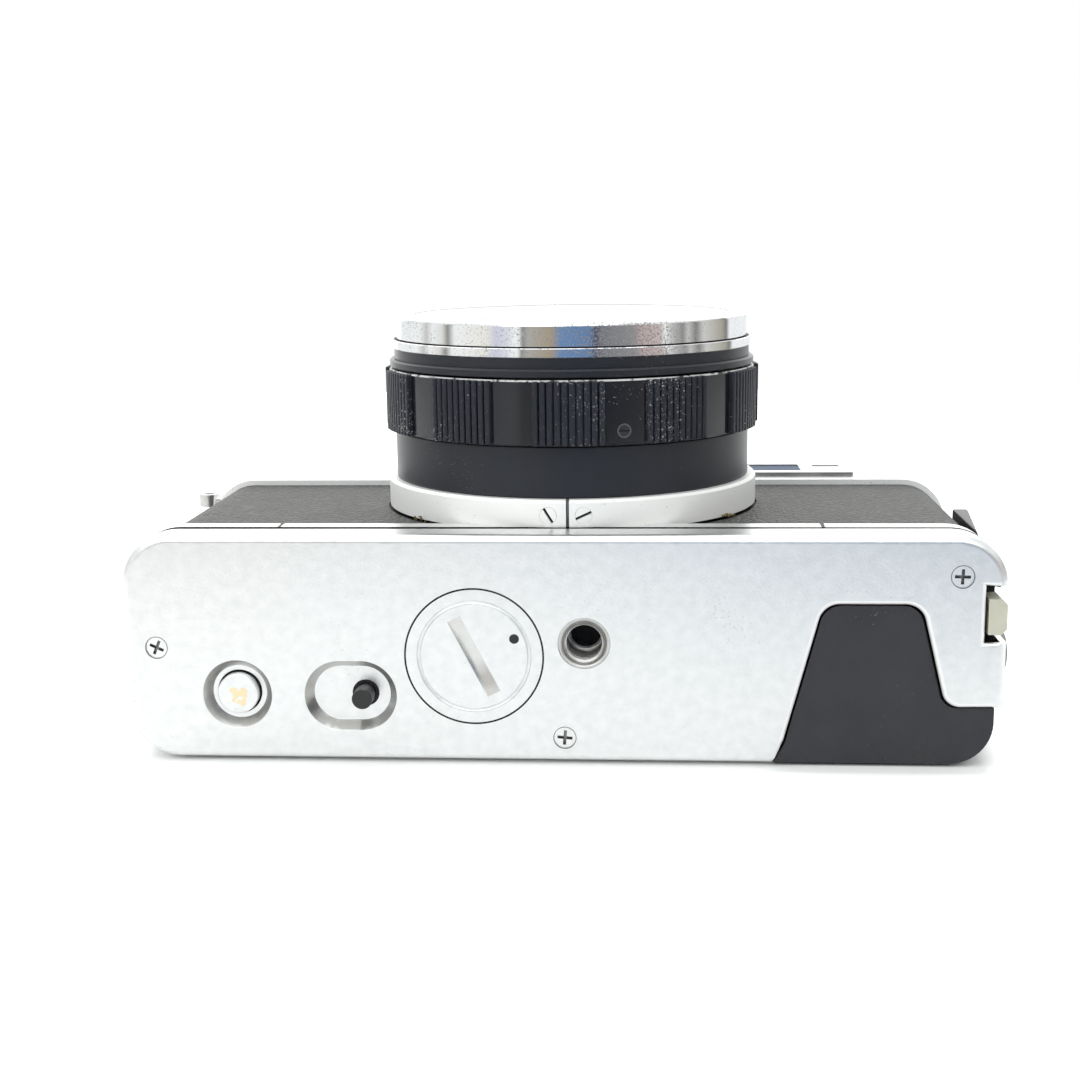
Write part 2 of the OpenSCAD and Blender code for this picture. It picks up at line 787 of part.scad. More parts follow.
// Round knob of the rewind shaft, with a slot for its crank.
module rewind_knob() {
    color(silver)
        difference() {
            union() {
                rod(bay_x, bay_y, deck_z + 0.4, deck_z + 4.6, rewind_r);
            }
            rod(bay_x, bay_y, deck_z, deck_z + 1.4, 2.2 + seat_gap);
            box([bay_x - rewind_r - 1, bay_y - 2.6, deck_z + 2.4],
                [bay_x + rewind_r + 1, bay_y + 2.6, deck_z + 6]);
            for (a = [0:10:350])
                translate([bay_x, bay_y, 0])
                    rotate([0, 0, a + 5])
                        translate([rewind_r + 0.35, 0, deck_z])
                            cylinder(h = 6, r = 0.65, $fn = 16);
            translate([bay_x - 6.3, bay_y, deck_z + 3.4])
                rotate([90, 0, 0])
                    cylinder(h = 12, r = 0.6 + run_gap, center = true);
        }
}

// Folding crank in the rewind knob.
module rewind_crank() {
    color(chrome)
        difference() {
            union() {
                box([bay_x - 6.3, bay_y - 2.2, deck_z + 2.7], [bay_x + 7.5, bay_y + 2.2, deck_z + 3.9]);
                translate([bay_x - 6.3, bay_y, deck_z + 3.4])
                    rotate([90, 0, 0])
                        cylinder(h = 11, r = 0.6, center = true);
                rod(bay_x + 5.4, bay_y, deck_z + 3.5, deck_z + 7.2, 1.9);
            }
            box([bay_x - 3.5, bay_y - 0.9, deck_z], [bay_x + 1.5, bay_y + 0.9, deck_z + 9]);
        }
}

// Lever that winds the film on, one frame a stroke.
module advance_lever() {
    color(chrome)
        difference() {
            union() {
                rod(spool_x, spool_y, deck_z + 0.4, deck_z + 2, 6.8);
                translate([spool_x, spool_y, deck_z + 0.4])
                    linear_extrude(1.6)
                        polygon([[0, 6.8], [lever_length - 4, 12.4], [lever_length - 1, 11.6],
                            [lever_length, 9.4], [lever_length - 2, 7], [6.4, 1.5]]);
                translate([spool_x + lever_length - 3, spool_y + 9.6, deck_z + 1])
                    cylinder(h = 3, r = 2.2);
            }
            rod(spool_x, spool_y, deck_z - 1, deck_z + 4, 2 + seat_gap);
        }
}

// Cap over the lever's axis.
module lever_cap() {
    color(silver) {
        rod(spool_x, spool_y, deck_z + 2, deck_z + 3.6, 5.6);
        rod(spool_x, spool_y, deck_z - sheet - 1.2, deck_z + 2, 2);
    }
}

// Shutter button with a threaded hole for a cable release.
module shutter_button() {
    color(chrome)
        difference() {
            union() {
                rod(shutter_x, shutter_y, deck_z - 3.4, deck_z + 3.6, shutter_r);
                rod(shutter_x, shutter_y, casting_top + 3.2, deck_z - 3, 1.5);
            }
            rod(shutter_x, shutter_y, deck_z - 0.6, deck_z + 5, 1.4);
        }
}

// Collar round the shutter button.
module release_collar() {
    color(silver)
        difference() {
            union() {
                rod(shutter_x, shutter_y, deck_z - 2.2, deck_z + 0.9, shutter_r + 1.9);
                rod(shutter_x, shutter_y, deck_z, deck_z + 0.9, shutter_r + 2.6);
            }
            rod(shutter_x, shutter_y, deck_z - 5, deck_z + 3, shutter_r + 0.12);
        }
}

// Disc that counts the frames.
module counter_disc() {
    color([0.9, 0.9, 0.88])
        difference() {
            rod(counter_x - 3.2, counter_y, deck_z - 4, deck_z - 3.2, 6.6);
            rod(counter_x - 3.2, counter_y, deck_z - 5, deck_z, 1.2 + run_gap);
        }
}

// Window over the frame counter.
module counter_window() {
    color(glass) {
        rod(counter_x, counter_y, deck_z - 1.5, deck_z + 0.3, 3.4);
    }
}

// Shoe for a flash or other accessory.
module accessory_shoe() {
    color(chrome)
        difference() {
            box([lens_x - 10.8, -7, deck_z], [lens_x + 10.8, 11, deck_z + 4.6]);
            box([lens_x - 9.3, -8, deck_z + 1.2], [lens_x + 9.3, 9.6, deck_z + 3.4]);
            box([lens_x - 6.2, -8, deck_z + 3], [lens_x + 6.2, 9.6, deck_z + 6]);
        }
}

// Raised silver frame round the front windows.
module finder_bezel() {
    color(silver)
        difference() {
            box([8, -front_h - panel_t, panel_z0], [panel_x1, -front_h, panel_z1]);
            on_lens()
                cylinder(h = 30, r = lens_cut_r);
            box([finder_x0, -front_h - 2, finder_z0], [finder_x1, -front_h + 3, finder_z1]);
            box([panel_x1 - 6.4, -front_h - 2, finder_z0 + 0.8],
                [panel_x1 - 1.6, -front_h + 3, finder_z1 - 0.8]);
        }
}

// Front glass of the finder.
module finder_window() {
    color(glass)
        difference() {
            box([finder_x0, -front_h - panel_t + 0.25, finder_z0], [finder_x1, -front_h + sheet, finder_z1]);
            on_lens()
                cylinder(h = 30, r = lens_cut_r + 0.1);
        }
}

// Small window of the light meter's needle lamp.
module meter_window() {
    color(glass)
        box([panel_x1 - 6.4, -front_h - panel_t + 0.25, finder_z0 + 0.8],
            [panel_x1 - 1.6, -front_h + sheet, finder_z1 - 0.8]);
}

// Dark tunnel of the finder, from its window to the eyepiece.
module finder_tunnel() {
    color(black)
        difference() {
            box([finder_x0 - 1, -front_h + sheet + 0.1, casting_top],
                [finder_x1 + 0.6, back_y - 2.4, deck_z - 2.6]);
            box([finder_x0 + 0.2, -front_h, casting_top + 1.4], [finder_x1 - 0.6, back_y, deck_z - 3.8]);
        }
}

// Frame of the eyepiece.
module eyepiece_frame() {
    color(black)
        difference() {
            box([eye_x - 7, back_y - 2.2, eye_z - 3.6], [eye_x + 7, back_y - 0.2, eye_z + 3.6]);
            box([eye_x - 5.6, back_y - 3, eye_z - 2.4], [eye_x + 5.6, back_y + 1, eye_z + 2.4]);
        }
}

// Glass of the eyepiece.
module eyepiece_glass() {
    color(glass)
        box([eye_x - 5.6, back_y - 1.8, eye_z - 2.4], [eye_x + 5.6, back_y - 0.8, eye_z + 2.4]);
}

// Split silver band round the foot of the lens.
module lens_band() {
    color(silver)
        difference() {
            on_lens()
                translate([0, 0, band_h0])
                    union() {
                        cylinder(h = band_h1 - band_h0 - 0.4, r = band_r);
                        translate([0, 0, band_h1 - band_h0 - 0.4])
                            cylinder(h = 0.4, r1 = band_r, r2 = band_r - 0.4);
                    }
            lens_plug(band_h0 - 1, band_h1 + 1, tube_r);
            on_lens()
                rotate([0, 0, 1.5])
                    translate([-0.22, -band_r - 1, band_h0 - 1])
                        cube([0.44, 3.5, 8]);
            band_holes();
        }
}

// Holes of the two band screws.
module band_holes() {
    for (a = [-4, 6])
        on_lens()
            rotate([0, 0, a])
                translate([0, -band_r + 2.2, band_screw_h])
                    rotate([90, 0, 0])
                        cylinder(h = 4, r = 1.25 + seat_gap);
}

// Two slotted screws that clamp the band.
module band_screws() {
    color(steel)
        for (a = [-4, 6])
            on_lens()
                rotate([0, 0, a])
                    translate([0, -band_r + 2.2, band_screw_h])
                        rotate([90, 0, 0])
                            difference() {
                                cylinder(h = 2.2, r = 1.25);
                                translate([-2, -0.2, 1.7])
                                    cube([4, 0.4, 1]);
                            }
}

// Fixed black barrel with the tube that the focus ring turns on.
module barrel_tube() {
    color(black)
        difference() {
            union() {
                lens_plug(seat_h, band_h1 + 0.5, tube_r - seat_gap);
                lens_plug(band_h1, barrel_h1, barrel_r);
                lens_plug(barrel_h1 - 0.5, focus_h1 - 0.2, tube_r);
            }
            lens_plug(seat_h - 1, focus_h1 + 1, cell_bore_r + run_gap);
        }
}

// Ribbed grips and smooth flats of the focus ring, as one outline worked out by angle.
module focus_outline() {
    pitch = 360 / focus_grips;
    grip = 20.8;
    step = grip / grip_ribs;
    polygon([for (g = [0:focus_grips - 1]) for (p = concat(
        [for (k = [0:grip_ribs - 1]) for (q = [[0.08, rib_depth], [0.27, 0], [0.73, 0], [0.92, rib_depth]])
            [g * pitch - grip / 2 + (k + q[0]) * step, focus_r - q[1]]],
        [for (t = [0.12, 0.37, 0.63, 0.88])
            [g * pitch + grip / 2 + t * (pitch - grip), focus_r - 0.75]]))
        p[1] * [sin(p[0] + 2), -cos(p[0] + 2)]]);
}

// Focus ring.
module focus_ring() {
    color(black)
        difference() {
            on_lens()
                translate([0, 0, focus_h0])
                    linear_extrude(focus_h1 - focus_h0)
                        focus_outline();
            lens_plug(focus_h0 - 1, focus_h1 + 1, tube_r + run_gap);
            on_lens()
                rotate([0, 0, 18])
                    translate([0, -focus_r - 1, grub_h])
                        rotate([-90, 0, 0])
                            cylinder(h = 3, r = 0.85 + seat_gap);
        }
}

// Grub screw that holds the focus ring's scale.
module focus_screw() {
    color(steel)
        on_lens()
            rotate([0, 0, 18])
                translate([0, -focus_r + 0.95, grub_h])
                    rotate([-90, 0, 0])
                        difference() {
                            cylinder(h = 1, r = 0.85);
                            translate([-1, -0.15, -0.1])
                                cube([2, 0.3, 0.35]);
                        }
}

// Front cell that slides out as the ring is turned.
module front_cell() {
    color(black)
        difference() {
            union() {
                lens_plug(cell_h0, front_h0 + 0.5, cell_bore_r);
                lens_plug(front_h0, front_h1, barrel_r + 0.7);
                lens_plug(front_h1 - 0.1, front_h2, barrel_r);
            }
            lens_plug(cell_h0 - 1, front_h1, glass_r - 1.5);
            lens_plug(glass_h0, front_h2 + 1, glass_r + seat_gap);
        }
}

// Chrome ring with the filter thread.
module lens_bezel() {
    color(chrome)
        difference() {
            union() {
                on_lens()
                    translate([0, 0, front_h2])
                        cylinder(h = chrome_h1 - front_h2, r1 = chrome_r + 0.6, r2 = chrome_r);
                lens_plug(chrome_h1, chrome_h2 - 0.5, chrome_r);
                on_lens()
                    translate([0, 0, chrome_h2 - 0.5])
                        cylinder(h = 0.5, r1 = chrome_r, r2 = chrome_r - 0.5);
            }
            lens_plug(front_h2 + name_t, chrome_h2 + 1, filter_r);
            lens_plug(front_h2 - 1, chrome_h2, filter_r - 0.4);
            on_lens()
                translate([0, 0, chrome_h2 - 0.8])
                    cylinder(h = 0.81, r1 = filter_r, r2 = filter_r + 0.8);
        }
}

// Dark stepped ring round the front glass.
module name_ring() {
    color(black)
        difference() {
            lens_plug(front_h2, front_h2 + name_t, filter_r - 0.4 - seat_gap);
            on_lens()
                translate([0, 0, front_h2 - 0.01])
                    cylinder(h = name_t + 0.1, r1 = glass_r - 0.6, r2 = filter_r - 3);
            lens_plug(front_h2 - 1, front_h2 + 0.01, glass_r - 0.6);
        }
}

// Domed front glass.
module front_element() {
    color(glass)
        on_lens()
            translate([0, 0, glass_h0])
                difference() {
                    intersection() {
                        cylinder(h = glass_t, r = glass_r);
                        translate([0, 0, glass_t - glass_dome])
                            sphere(glass_dome);
                    }
                }
}

// Rear glass.
module rear_element() {
    color(glass)
        lens_plug(5.6, 8, aperture_r);
}

// Round case of the leaf shutter.
module shutter_case() {
    color(black)
        difference() {
            lens_plug(case_h0, seat_h, case_r);
            lens_plug(case_h0 - 1, seat_h + 1, aperture_r);
            difference() {
                lens_plug(10, 13.4, case_r - 1.3);
                for (a = [0, 180])
                    on_lens()
                        rotate([0, 0, a])
                            translate([leaf_pivot[0], leaf_pivot[1], 9])
                                cylinder(h = 6, r = leaf_pin_r, $fn = 24);
            }
        }
}

// Leaf of the shutter, with its pivot hole.
module leaf(h0) {
    on_lens()
        translate([0, 0, h0])
            linear_extrude(0.3)
                difference() {
                    polygon(concat([for (a = [87:6:129]) leaf_r * [cos(a), sin(a)]],
                        [[-13.2, 9.2], [-16.1, 8.1], [-16.2, 5.6], [-13.6, 4.4]],
                        [for (a = [159:6:273]) leaf_r * [cos(a), sin(a)]]));
                    translate(leaf_pivot)
                        circle(leaf_pin_r + 0.1, $fn = 24);
                }
}

// First leaf of the shutter.
module shutter_blade_a() {
    color(steel)
        leaf(11);
}

// Second leaf of the shutter, turned half round.
module shutter_blade_b() {
    color(steel)
        translate([2 * lens_x, 0, 2 * lens_z])
            rotate([0, 180, 0])
                leaf(12);
}

place() body_casting();
place() bottom_cover();
place() top_cover();
place() front_trim();
place() front_leather();
place() base_screws();
place() tripod_bush();
place() button_cell();
place() battery_contact();
place() battery_cover();
place() rewind_button();
place() check_pin();
place() latch_bar();
place() latch_catch();
place() sync_socket();
place() strap_lug();
place() rear_door();
place() door_leather();
place() pressure_plate();
place() plate_spring();
place() hinge_pin();
place() take_up_spool();
place() film_sprocket();
place() rewind_shaft();
place() rewind_knob();
place() rewind_crank();
place() advance_lever();
place() lever_cap();
place() shutter_button();
place() release_collar();
place() counter_disc();
place() counter_window();
place() accessory_shoe();
place() finder_bezel();
place() finder_window();
place() meter_window();
place() finder_tunnel();
place() eyepiece_frame();
place() eyepiece_glass();
place() lens_band();
place() band_screws();
place() barrel_tube();
place() focus_ring();
place() focus_screw();
place() front_cell();
place() lens_bezel();
place() name_ring();
place() front_element();
place() rear_element();
place() shutter_case();
place() shutter_blade_a();
place() shutter_blade_b();
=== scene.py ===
# %% [markdown]
# # A half frame camera, lying on its back
# This lesson dresses a small film camera whose solids are already made.
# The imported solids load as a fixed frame, and every piece made here is in metres in that frame.
# Most covers keep the solids' shape with softened edges, and the lens rings are turned afresh.

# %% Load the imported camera
import math
import random
import bmesh
import bpy
from mathutils import Matrix, Vector


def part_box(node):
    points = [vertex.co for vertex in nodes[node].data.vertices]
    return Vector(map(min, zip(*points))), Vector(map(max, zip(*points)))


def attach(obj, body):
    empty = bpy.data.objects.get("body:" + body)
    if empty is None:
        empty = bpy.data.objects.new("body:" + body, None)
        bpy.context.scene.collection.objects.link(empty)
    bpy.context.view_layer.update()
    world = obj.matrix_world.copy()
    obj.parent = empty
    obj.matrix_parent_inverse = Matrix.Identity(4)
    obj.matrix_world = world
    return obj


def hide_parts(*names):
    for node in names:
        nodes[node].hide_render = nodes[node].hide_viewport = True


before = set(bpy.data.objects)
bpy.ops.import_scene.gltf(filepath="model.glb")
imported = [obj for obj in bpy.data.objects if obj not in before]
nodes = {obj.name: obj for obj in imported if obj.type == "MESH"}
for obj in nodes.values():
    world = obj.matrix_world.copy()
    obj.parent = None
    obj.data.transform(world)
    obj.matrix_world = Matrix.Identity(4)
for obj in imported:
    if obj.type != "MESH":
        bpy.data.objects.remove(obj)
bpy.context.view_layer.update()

scene = bpy.context.scene
scene.view_settings.view_transform = "Standard"
MM = 0.001

# %% [markdown]
# ## The camera that takes the picture
# The photograph looks at the base from a little above the lens and to the right.
# Its place was worked out from the straight edges and circles of the base.
# So the camera's three directions are written down as they are, and no aim is needed.
# A lens of 52 mm on a 36 mm sensor has the photograph's angle of view.

# %% Picture camera
EYE = Vector((9.59, -58.44, -218.49)) * MM
RIGHT = Vector((0.99750, 0.01267, 0.06952))
DOWN = Vector((0.00104, 0.98104, -0.19379))
FORWARD = Vector((-0.07066, 0.19338, 0.97858))
eye_data = bpy.data.cameras.new("picture_camera")
eye_data.lens = 52.09
eye_data.sensor_width = 36.0
eye_data.clip_start = 0.01
eye_data.clip_end = 20.0
eye = bpy.data.objects.new("picture_camera", eye_data)
scene.collection.objects.link(eye)
turn = Matrix((RIGHT, -DOWN, -FORWARD)).transposed().to_4x4()
eye.matrix_world = Matrix.Translation(EYE) @ turn
scene.camera = eye
print("camera at", [round(v, 4) for v in EYE])

# %% [markdown]
# ## Helpers for node trees
# The materials, the room and the ribs are all trees of nodes, and adding a node is always the same work.
# One helper adds a node and fills its inputs, either with a plain value or from another node's output.
# Two more give the result of a sum and a mix of two tones by a mask, and the last starts a material.

# %% Node helpers
MIX_FIRST, MIX_SECOND, MIX_RESULT = 6, 7, 2    # the colour sockets of a Mix node


def add_node(tree, kind, inputs=None, **settings):
    node = tree.nodes.new(kind)
    for setting, value in settings.items():
        setattr(node, setting, value)
    for socket, value in (inputs or {}).items():
        if isinstance(value, bpy.types.NodeSocket):
            tree.links.new(value, node.inputs[socket])
        else:
            node.inputs[socket].default_value = value
    return node


def sum_of(tree, operation, *terms):
    return add_node(tree, "ShaderNodeMath", dict(enumerate(terms)), operation=operation).outputs[0]


def tone_mix(tree, mask, first, second):
    tones = {0: mask, MIX_FIRST: first, MIX_SECOND: second}
    return add_node(tree, "ShaderNodeMix", tones, data_type="RGBA").outputs[MIX_RESULT]


def new_material(name):
    material = bpy.data.materials.new(name)
    material.use_nodes = True
    return material, material.node_tree


print("node helpers ready")

# %% [markdown]
# ## Table and floor
# The camera lies on its back, so the table is the upright plane behind the door.
# It is painted darker towards the front right, a painted shade that dims the plate's reflection there as in the
# photograph.
# A glow that only the picture camera sees lifts it to white, and it fades out close to the body.
# There the real shadow stays.
# From behind, the table must not hide the camera, so its back side is clear.

# %% Ground finish
WHITE_FLOOR = (0.88, 0.885, 0.88, 1.0)
# painted shade: a darker table tone towards the front right, seen in the plate's reflection
SHADED_FLOOR = (0.60, 0.63, 0.65, 1.0)
TINT_X0, TINT_X1 = -0.03, 0.09          # the darker paint begins and is full here
TINT_Z0, TINT_Z1 = -0.015, -0.085
GROUND_LIFT = 0.55
FADE_FROM, FADE_TO = 0.0012, 0.0061     # distance from the body, in metres
FOOT_MIDDLE = (-0.0039, 0.0014, 0.0385)
FOOT_HALF = (0.0600, 0.0170, 0.0388)


def distance_from_foot(tree, where):
    def vector(operation, *terms):
        return add_node(tree, "ShaderNodeVectorMath", dict(enumerate(terms)), operation=operation).outputs

    away = vector("ABSOLUTE", vector("SUBTRACT", where, FOOT_MIDDLE)[0])[0]
    outside = vector("MAXIMUM", vector("SUBTRACT", away, FOOT_HALF)[0])[0]
    return vector("LENGTH", outside)["Value"]


def pale_ground(name, camera_only):
    material, tree = new_material(name)
    tree.nodes.clear()
    where = add_node(tree, "ShaderNodeTexCoord").outputs["Object"]
    camera_ray = add_node(tree, "ShaderNodeLightPath").outputs["Is Camera Ray"]
    x, y, z = add_node(tree, "ShaderNodeSeparateXYZ", {0: where}).outputs
    across = add_node(tree, "ShaderNodeMapRange", {"Value": x, "From Min": TINT_X0, "From Max": TINT_X1})
    ahead = add_node(tree, "ShaderNodeMapRange", {"Value": z, "From Min": TINT_Z0, "From Max": TINT_Z1})
    share = sum_of(tree, "MULTIPLY", across.outputs[0], ahead.outputs[0])
    tint = tone_mix(tree, share, WHITE_FLOOR, SHADED_FLOOR)
    paint = add_node(tree, "ShaderNodeBsdfDiffuse", {"Color": tint})
    fade = add_node(tree, "ShaderNodeMapRange", {
        "Value": distance_from_foot(tree, where), "From Min": FADE_FROM, "From Max": FADE_TO,
        "To Max": GROUND_LIFT})
    lift = sum_of(tree, "MULTIPLY", camera_ray, fade.outputs[0])
    glow = add_node(tree, "ShaderNodeEmission", {"Strength": lift})
    both = add_node(tree, "ShaderNodeAddShader", {0: paint.outputs[0], 1: glow.outputs[0]})
    clear = add_node(tree, "ShaderNodeBsdfTransparent")
    hidden = add_node(tree, "ShaderNodeNewGeometry").outputs["Backfacing"]
    if camera_only:
        hidden = sum_of(tree, "MAXIMUM", sum_of(tree, "SUBTRACT", 1.0, camera_ray), hidden)
    pick = add_node(tree, "ShaderNodeMixShader", {0: hidden, 1: both.outputs[0], 2: clear.outputs[0]})
    add_node(tree, "ShaderNodeOutputMaterial", {"Surface": pick.outputs[0]})
    return material


print("ground finish ready")

# %% [markdown]
# The part of the table that the body covers is left open, so that light reaches the back in views from behind.
# A second plane under the base serves the views from above, and only the picture camera's rays meet it.

# %% Table and floor planes
BACK_Y, FLOOR_Z = 18.42 * MM, -0.0002
REACH, TABLE_FRONT = 0.55, -0.22
OPEN_X0, OPEN_X1, OPEN_Z0, OPEN_Z1 = -0.062, 0.054, 0.006, 0.064


def plane_piece(name, corners, faces, material):
    mesh = bpy.data.meshes.new(name)
    mesh.from_pydata(corners, [], faces)
    mesh.materials.append(material)
    piece = bpy.data.objects.new(name, mesh)
    scene.collection.objects.link(piece)
    return piece


def corners_of(a0, a1, b0, b1):
    return [(a0, b0), (a1, b0), (a1, b1), (a0, b1)]


table_edge = corners_of(-REACH, REACH, TABLE_FRONT, REACH)
opening = corners_of(OPEN_X0, OPEN_X1, OPEN_Z0, OPEN_Z1)
frame_faces = [(k, (k + 1) % 4, (k + 1) % 4 + 4, k + 4) for k in range(4)]
table = plane_piece("table", [(x, BACK_Y, z) for x, z in table_edge + opening], frame_faces,
                    pale_ground("table_white", False))
square = corners_of(-REACH, REACH, -REACH, REACH)
plane_piece("floor", [(x, y, FLOOR_Z) for x, y in square], [(0, 1, 2, 3)], pale_ground("floor_white", True))
print("table at y =", BACK_Y, "faces", [round(v, 2) for v in table.data.polygons[0].normal])

# %% [markdown]
# ## The room
# Chrome shows little of its own and much of the room, so the room needs something to show.
# It is pale all over, with upright bands of colour at the height of the lens: shelves, cloth and door frames.
# They lie at an angle about the lens axis, and fade to plain pale towards the table and the ceiling.
# The picture camera sees plain white instead.

# %% Pale room with bands
ROOM_LEVEL = 0.99
WHITE = (1.0, 1.0, 1.0, 1.0)
PALE = (0.96, 0.985, 0.985, 1.0)
GREY = (0.62, 0.62, 0.60, 1.0)
BAND_FULL, BAND_END = 0.22, 0.38        # share of the way towards the table or the ceiling
ROOM_BANDS = [
    (-112, PALE), (-104, GREY), (-98, PALE), (-88, (0.80, 0.80, 0.78, 1)), (-83, (0.26, 0.25, 0.23, 1)),
    (-77, PALE), (-52, (0.90, 0.89, 0.82, 1)), (-46, (0.66, 0.68, 0.80, 1)), (-37, (0.78, 0.80, 0.86, 1)),
    (-34, PALE), (-30, PALE), (-28, (0.20, 0.20, 0.19, 1)), (-25, (0.46, 0.45, 0.42, 1)),
    (-9, (0.42, 0.34, 0.24, 1)), (-4, (0.16, 0.28, 0.50, 1)), (15, (0.14, 0.24, 0.44, 1)),
    (18, (0.07, 0.07, 0.10, 1)), (23, (0.22, 0.22, 0.24, 1)), (44, (0.30, 0.30, 0.31, 1)),
    (47, (0.55, 0.42, 0.41, 1)), (62, (0.62, 0.52, 0.50, 1)), (65, PALE), (69, GREY),
    (79, (0.26, 0.26, 0.26, 1)), (83, GREY), (90, (0.22, 0.22, 0.22, 1)), (97, (0.66, 0.66, 0.63, 1)),
    (118, (0.40, 0.38, 0.32, 1)), (123, (0.18, 0.18, 0.18, 1)), (127, PALE)]

world = bpy.data.worlds.new("pale_room")
scene.world = world
world.use_nodes = True
sky = world.node_tree
sky.nodes.clear()
looking = add_node(sky, "ShaderNodeTexCoord").outputs["Generated"]
look_x, look_y, look_z = add_node(sky, "ShaderNodeSeparateXYZ", {0: looking}).outputs
around = sum_of(sky, "ARCTAN2", look_x, sum_of(sky, "MULTIPLY", look_z, -1.0))
part_turn = sum_of(sky, "ADD", sum_of(sky, "DIVIDE", around, 2 * math.pi), 0.5)
bands = add_node(sky, "ShaderNodeValToRGB", {0: part_turn})
bands.color_ramp.interpolation = "LINEAR"
stops = bands.color_ramp.elements
while len(stops) < len(ROOM_BANDS):
    stops.new(0.5)
for stop, (angle, colour) in zip(stops, ROOM_BANDS):
    stop.position = (angle + 180.0) / 360.0
    stop.color = colour
level = add_node(sky, "ShaderNodeMapRange", {
    "Value": sum_of(sky, "ABSOLUTE", look_y), "From Min": BAND_FULL, "From Max": BAND_END,
    "To Min": 1.0, "To Max": 0.0})
room_tone = tone_mix(sky, level.outputs[0], PALE, bands.outputs[0])
room = add_node(sky, "ShaderNodeBackground", {"Color": room_tone, "Strength": ROOM_LEVEL})
backdrop = add_node(sky, "ShaderNodeBackground", {"Color": WHITE, "Strength": 1.0})
seen = add_node(sky, "ShaderNodeLightPath").outputs["Is Camera Ray"]
choose = add_node(sky, "ShaderNodeMixShader", {0: seen, 1: room.outputs[0], 2: backdrop.outputs[0]})
add_node(sky, "ShaderNodeOutputWorld", {"Surface": choose.outputs[0]})
print("bands in the room:", len(ROOM_BANDS))

# %% [markdown]
# Three large soft lamps give the metal its gradients, and their size keeps the pale plate from clipping.
# One is over the lens, one in front of the base, and one over the top for the views from there.

# %% Lamps
MIDDLE = (0.0, 0.0, 0.035)


def soft_lamp(name, place, size, power, colour=(1.0, 1.0, 1.0)):
    data = bpy.data.lights.new(name, "AREA")
    data.shape = "RECTANGLE"
    data.size, data.size_y = size
    data.energy = power
    data.color = colour
    lamp = bpy.data.objects.new(name, data)
    scene.collection.objects.link(lamp)
    lamp.location = place
    lamp.rotation_mode = "QUATERNION"
    lamp.rotation_quaternion = (Vector(MIDDLE) - Vector(place)).to_track_quat("-Z", "Y")


soft_lamp("overhead_lamp", (-0.22, -0.80, 0.05), (1.35, 1.05), 3.2)
soft_lamp("front_lamp", (-0.10, -0.58, -0.72), (1.3, 0.5), 3.1, (1.0, 0.99, 0.97))
soft_lamp("top_lamp", (-0.12, -0.35, 0.80), (1.2, 0.9), 3.0, (1.0, 0.985, 0.955))

# %% [markdown]
# ## Shared effects
# Old metal and paint show two things again and again: a soft cloudy change of tone, and small specks.
# Each is a node group made once, with its own values in every material that uses it.
# A group only gives a mask, and the shader itself stays in the material.

# %% Cloud and speck groups
SPECK_LEVEL = 0.98          # a speck shows where the noise passes this level less the cover
PATCH_SCALE, PATCH_SHARE = 70.0, 0.35


def group_with(name, inputs):
    group = bpy.data.node_groups.new(name, "ShaderNodeTree")
    for label, value in inputs:
        socket = group.interface.new_socket(label, in_out="INPUT", socket_type="NodeSocketFloat")
        socket.default_value = value
    group.interface.new_socket("Mask", in_out="OUTPUT", socket_type="NodeSocketFloat")
    where = add_node(group, "ShaderNodeTexCoord").outputs["Object"]
    return group, where, add_node(group, "NodeGroupInput").outputs


def speck_group():
    group, where, given = group_with("specks", [("Scale", 900.0), ("Cover", 0.3), ("Softness", 0.05)])
    grain = add_node(group, "ShaderNodeTexNoise", {
        "Vector": where, "Scale": given["Scale"], "Detail": 6.0, "Roughness": 0.62})
    patch = add_node(group, "ShaderNodeTexNoise", {"Vector": where, "Scale": PATCH_SCALE, "Detail": 3.0})
    height = sum_of(group, "MULTIPLY_ADD", patch.outputs[0], PATCH_SHARE, grain.outputs[0])
    low = sum_of(group, "SUBTRACT", SPECK_LEVEL, given["Cover"])
    high = sum_of(group, "ADD", low, given["Softness"])
    mask = add_node(group, "ShaderNodeMapRange", {"Value": height, "From Min": low, "From Max": high})
    add_node(group, "NodeGroupOutput", {"Mask": mask.outputs[0]})
    return group


def cloud_group():
    group, where, given = group_with("clouds", [("Scale", 60.0), ("Contrast", 1.0)])
    noise = add_node(group, "ShaderNodeTexNoise", {"Vector": where, "Scale": given["Scale"], "Detail": 5.0})
    centred = sum_of(group, "SUBTRACT", noise.outputs[0], 0.5)
    spread = add_node(group, "ShaderNodeMath", {0: centred, 1: given["Contrast"], 2: 0.5},
                      operation="MULTIPLY_ADD", use_clamp=True)
    add_node(group, "NodeGroupOutput", {"Mask": spread.outputs[0]})
    return group


SPECKS = speck_group()
CLOUDS = cloud_group()
print("groups:", SPECKS.name, CLOUDS.name)

# %% [markdown]
# ## Finishes
# The covers are satin plate, the lens front is bright chrome, and the door and barrel are black paint.
# One helper lays a base tone, clouds it, adds specks of a second tone and changes the roughness in them.
# Dust on black paint and pits in silver plate are the same effect with other values.

# %% Finish helper


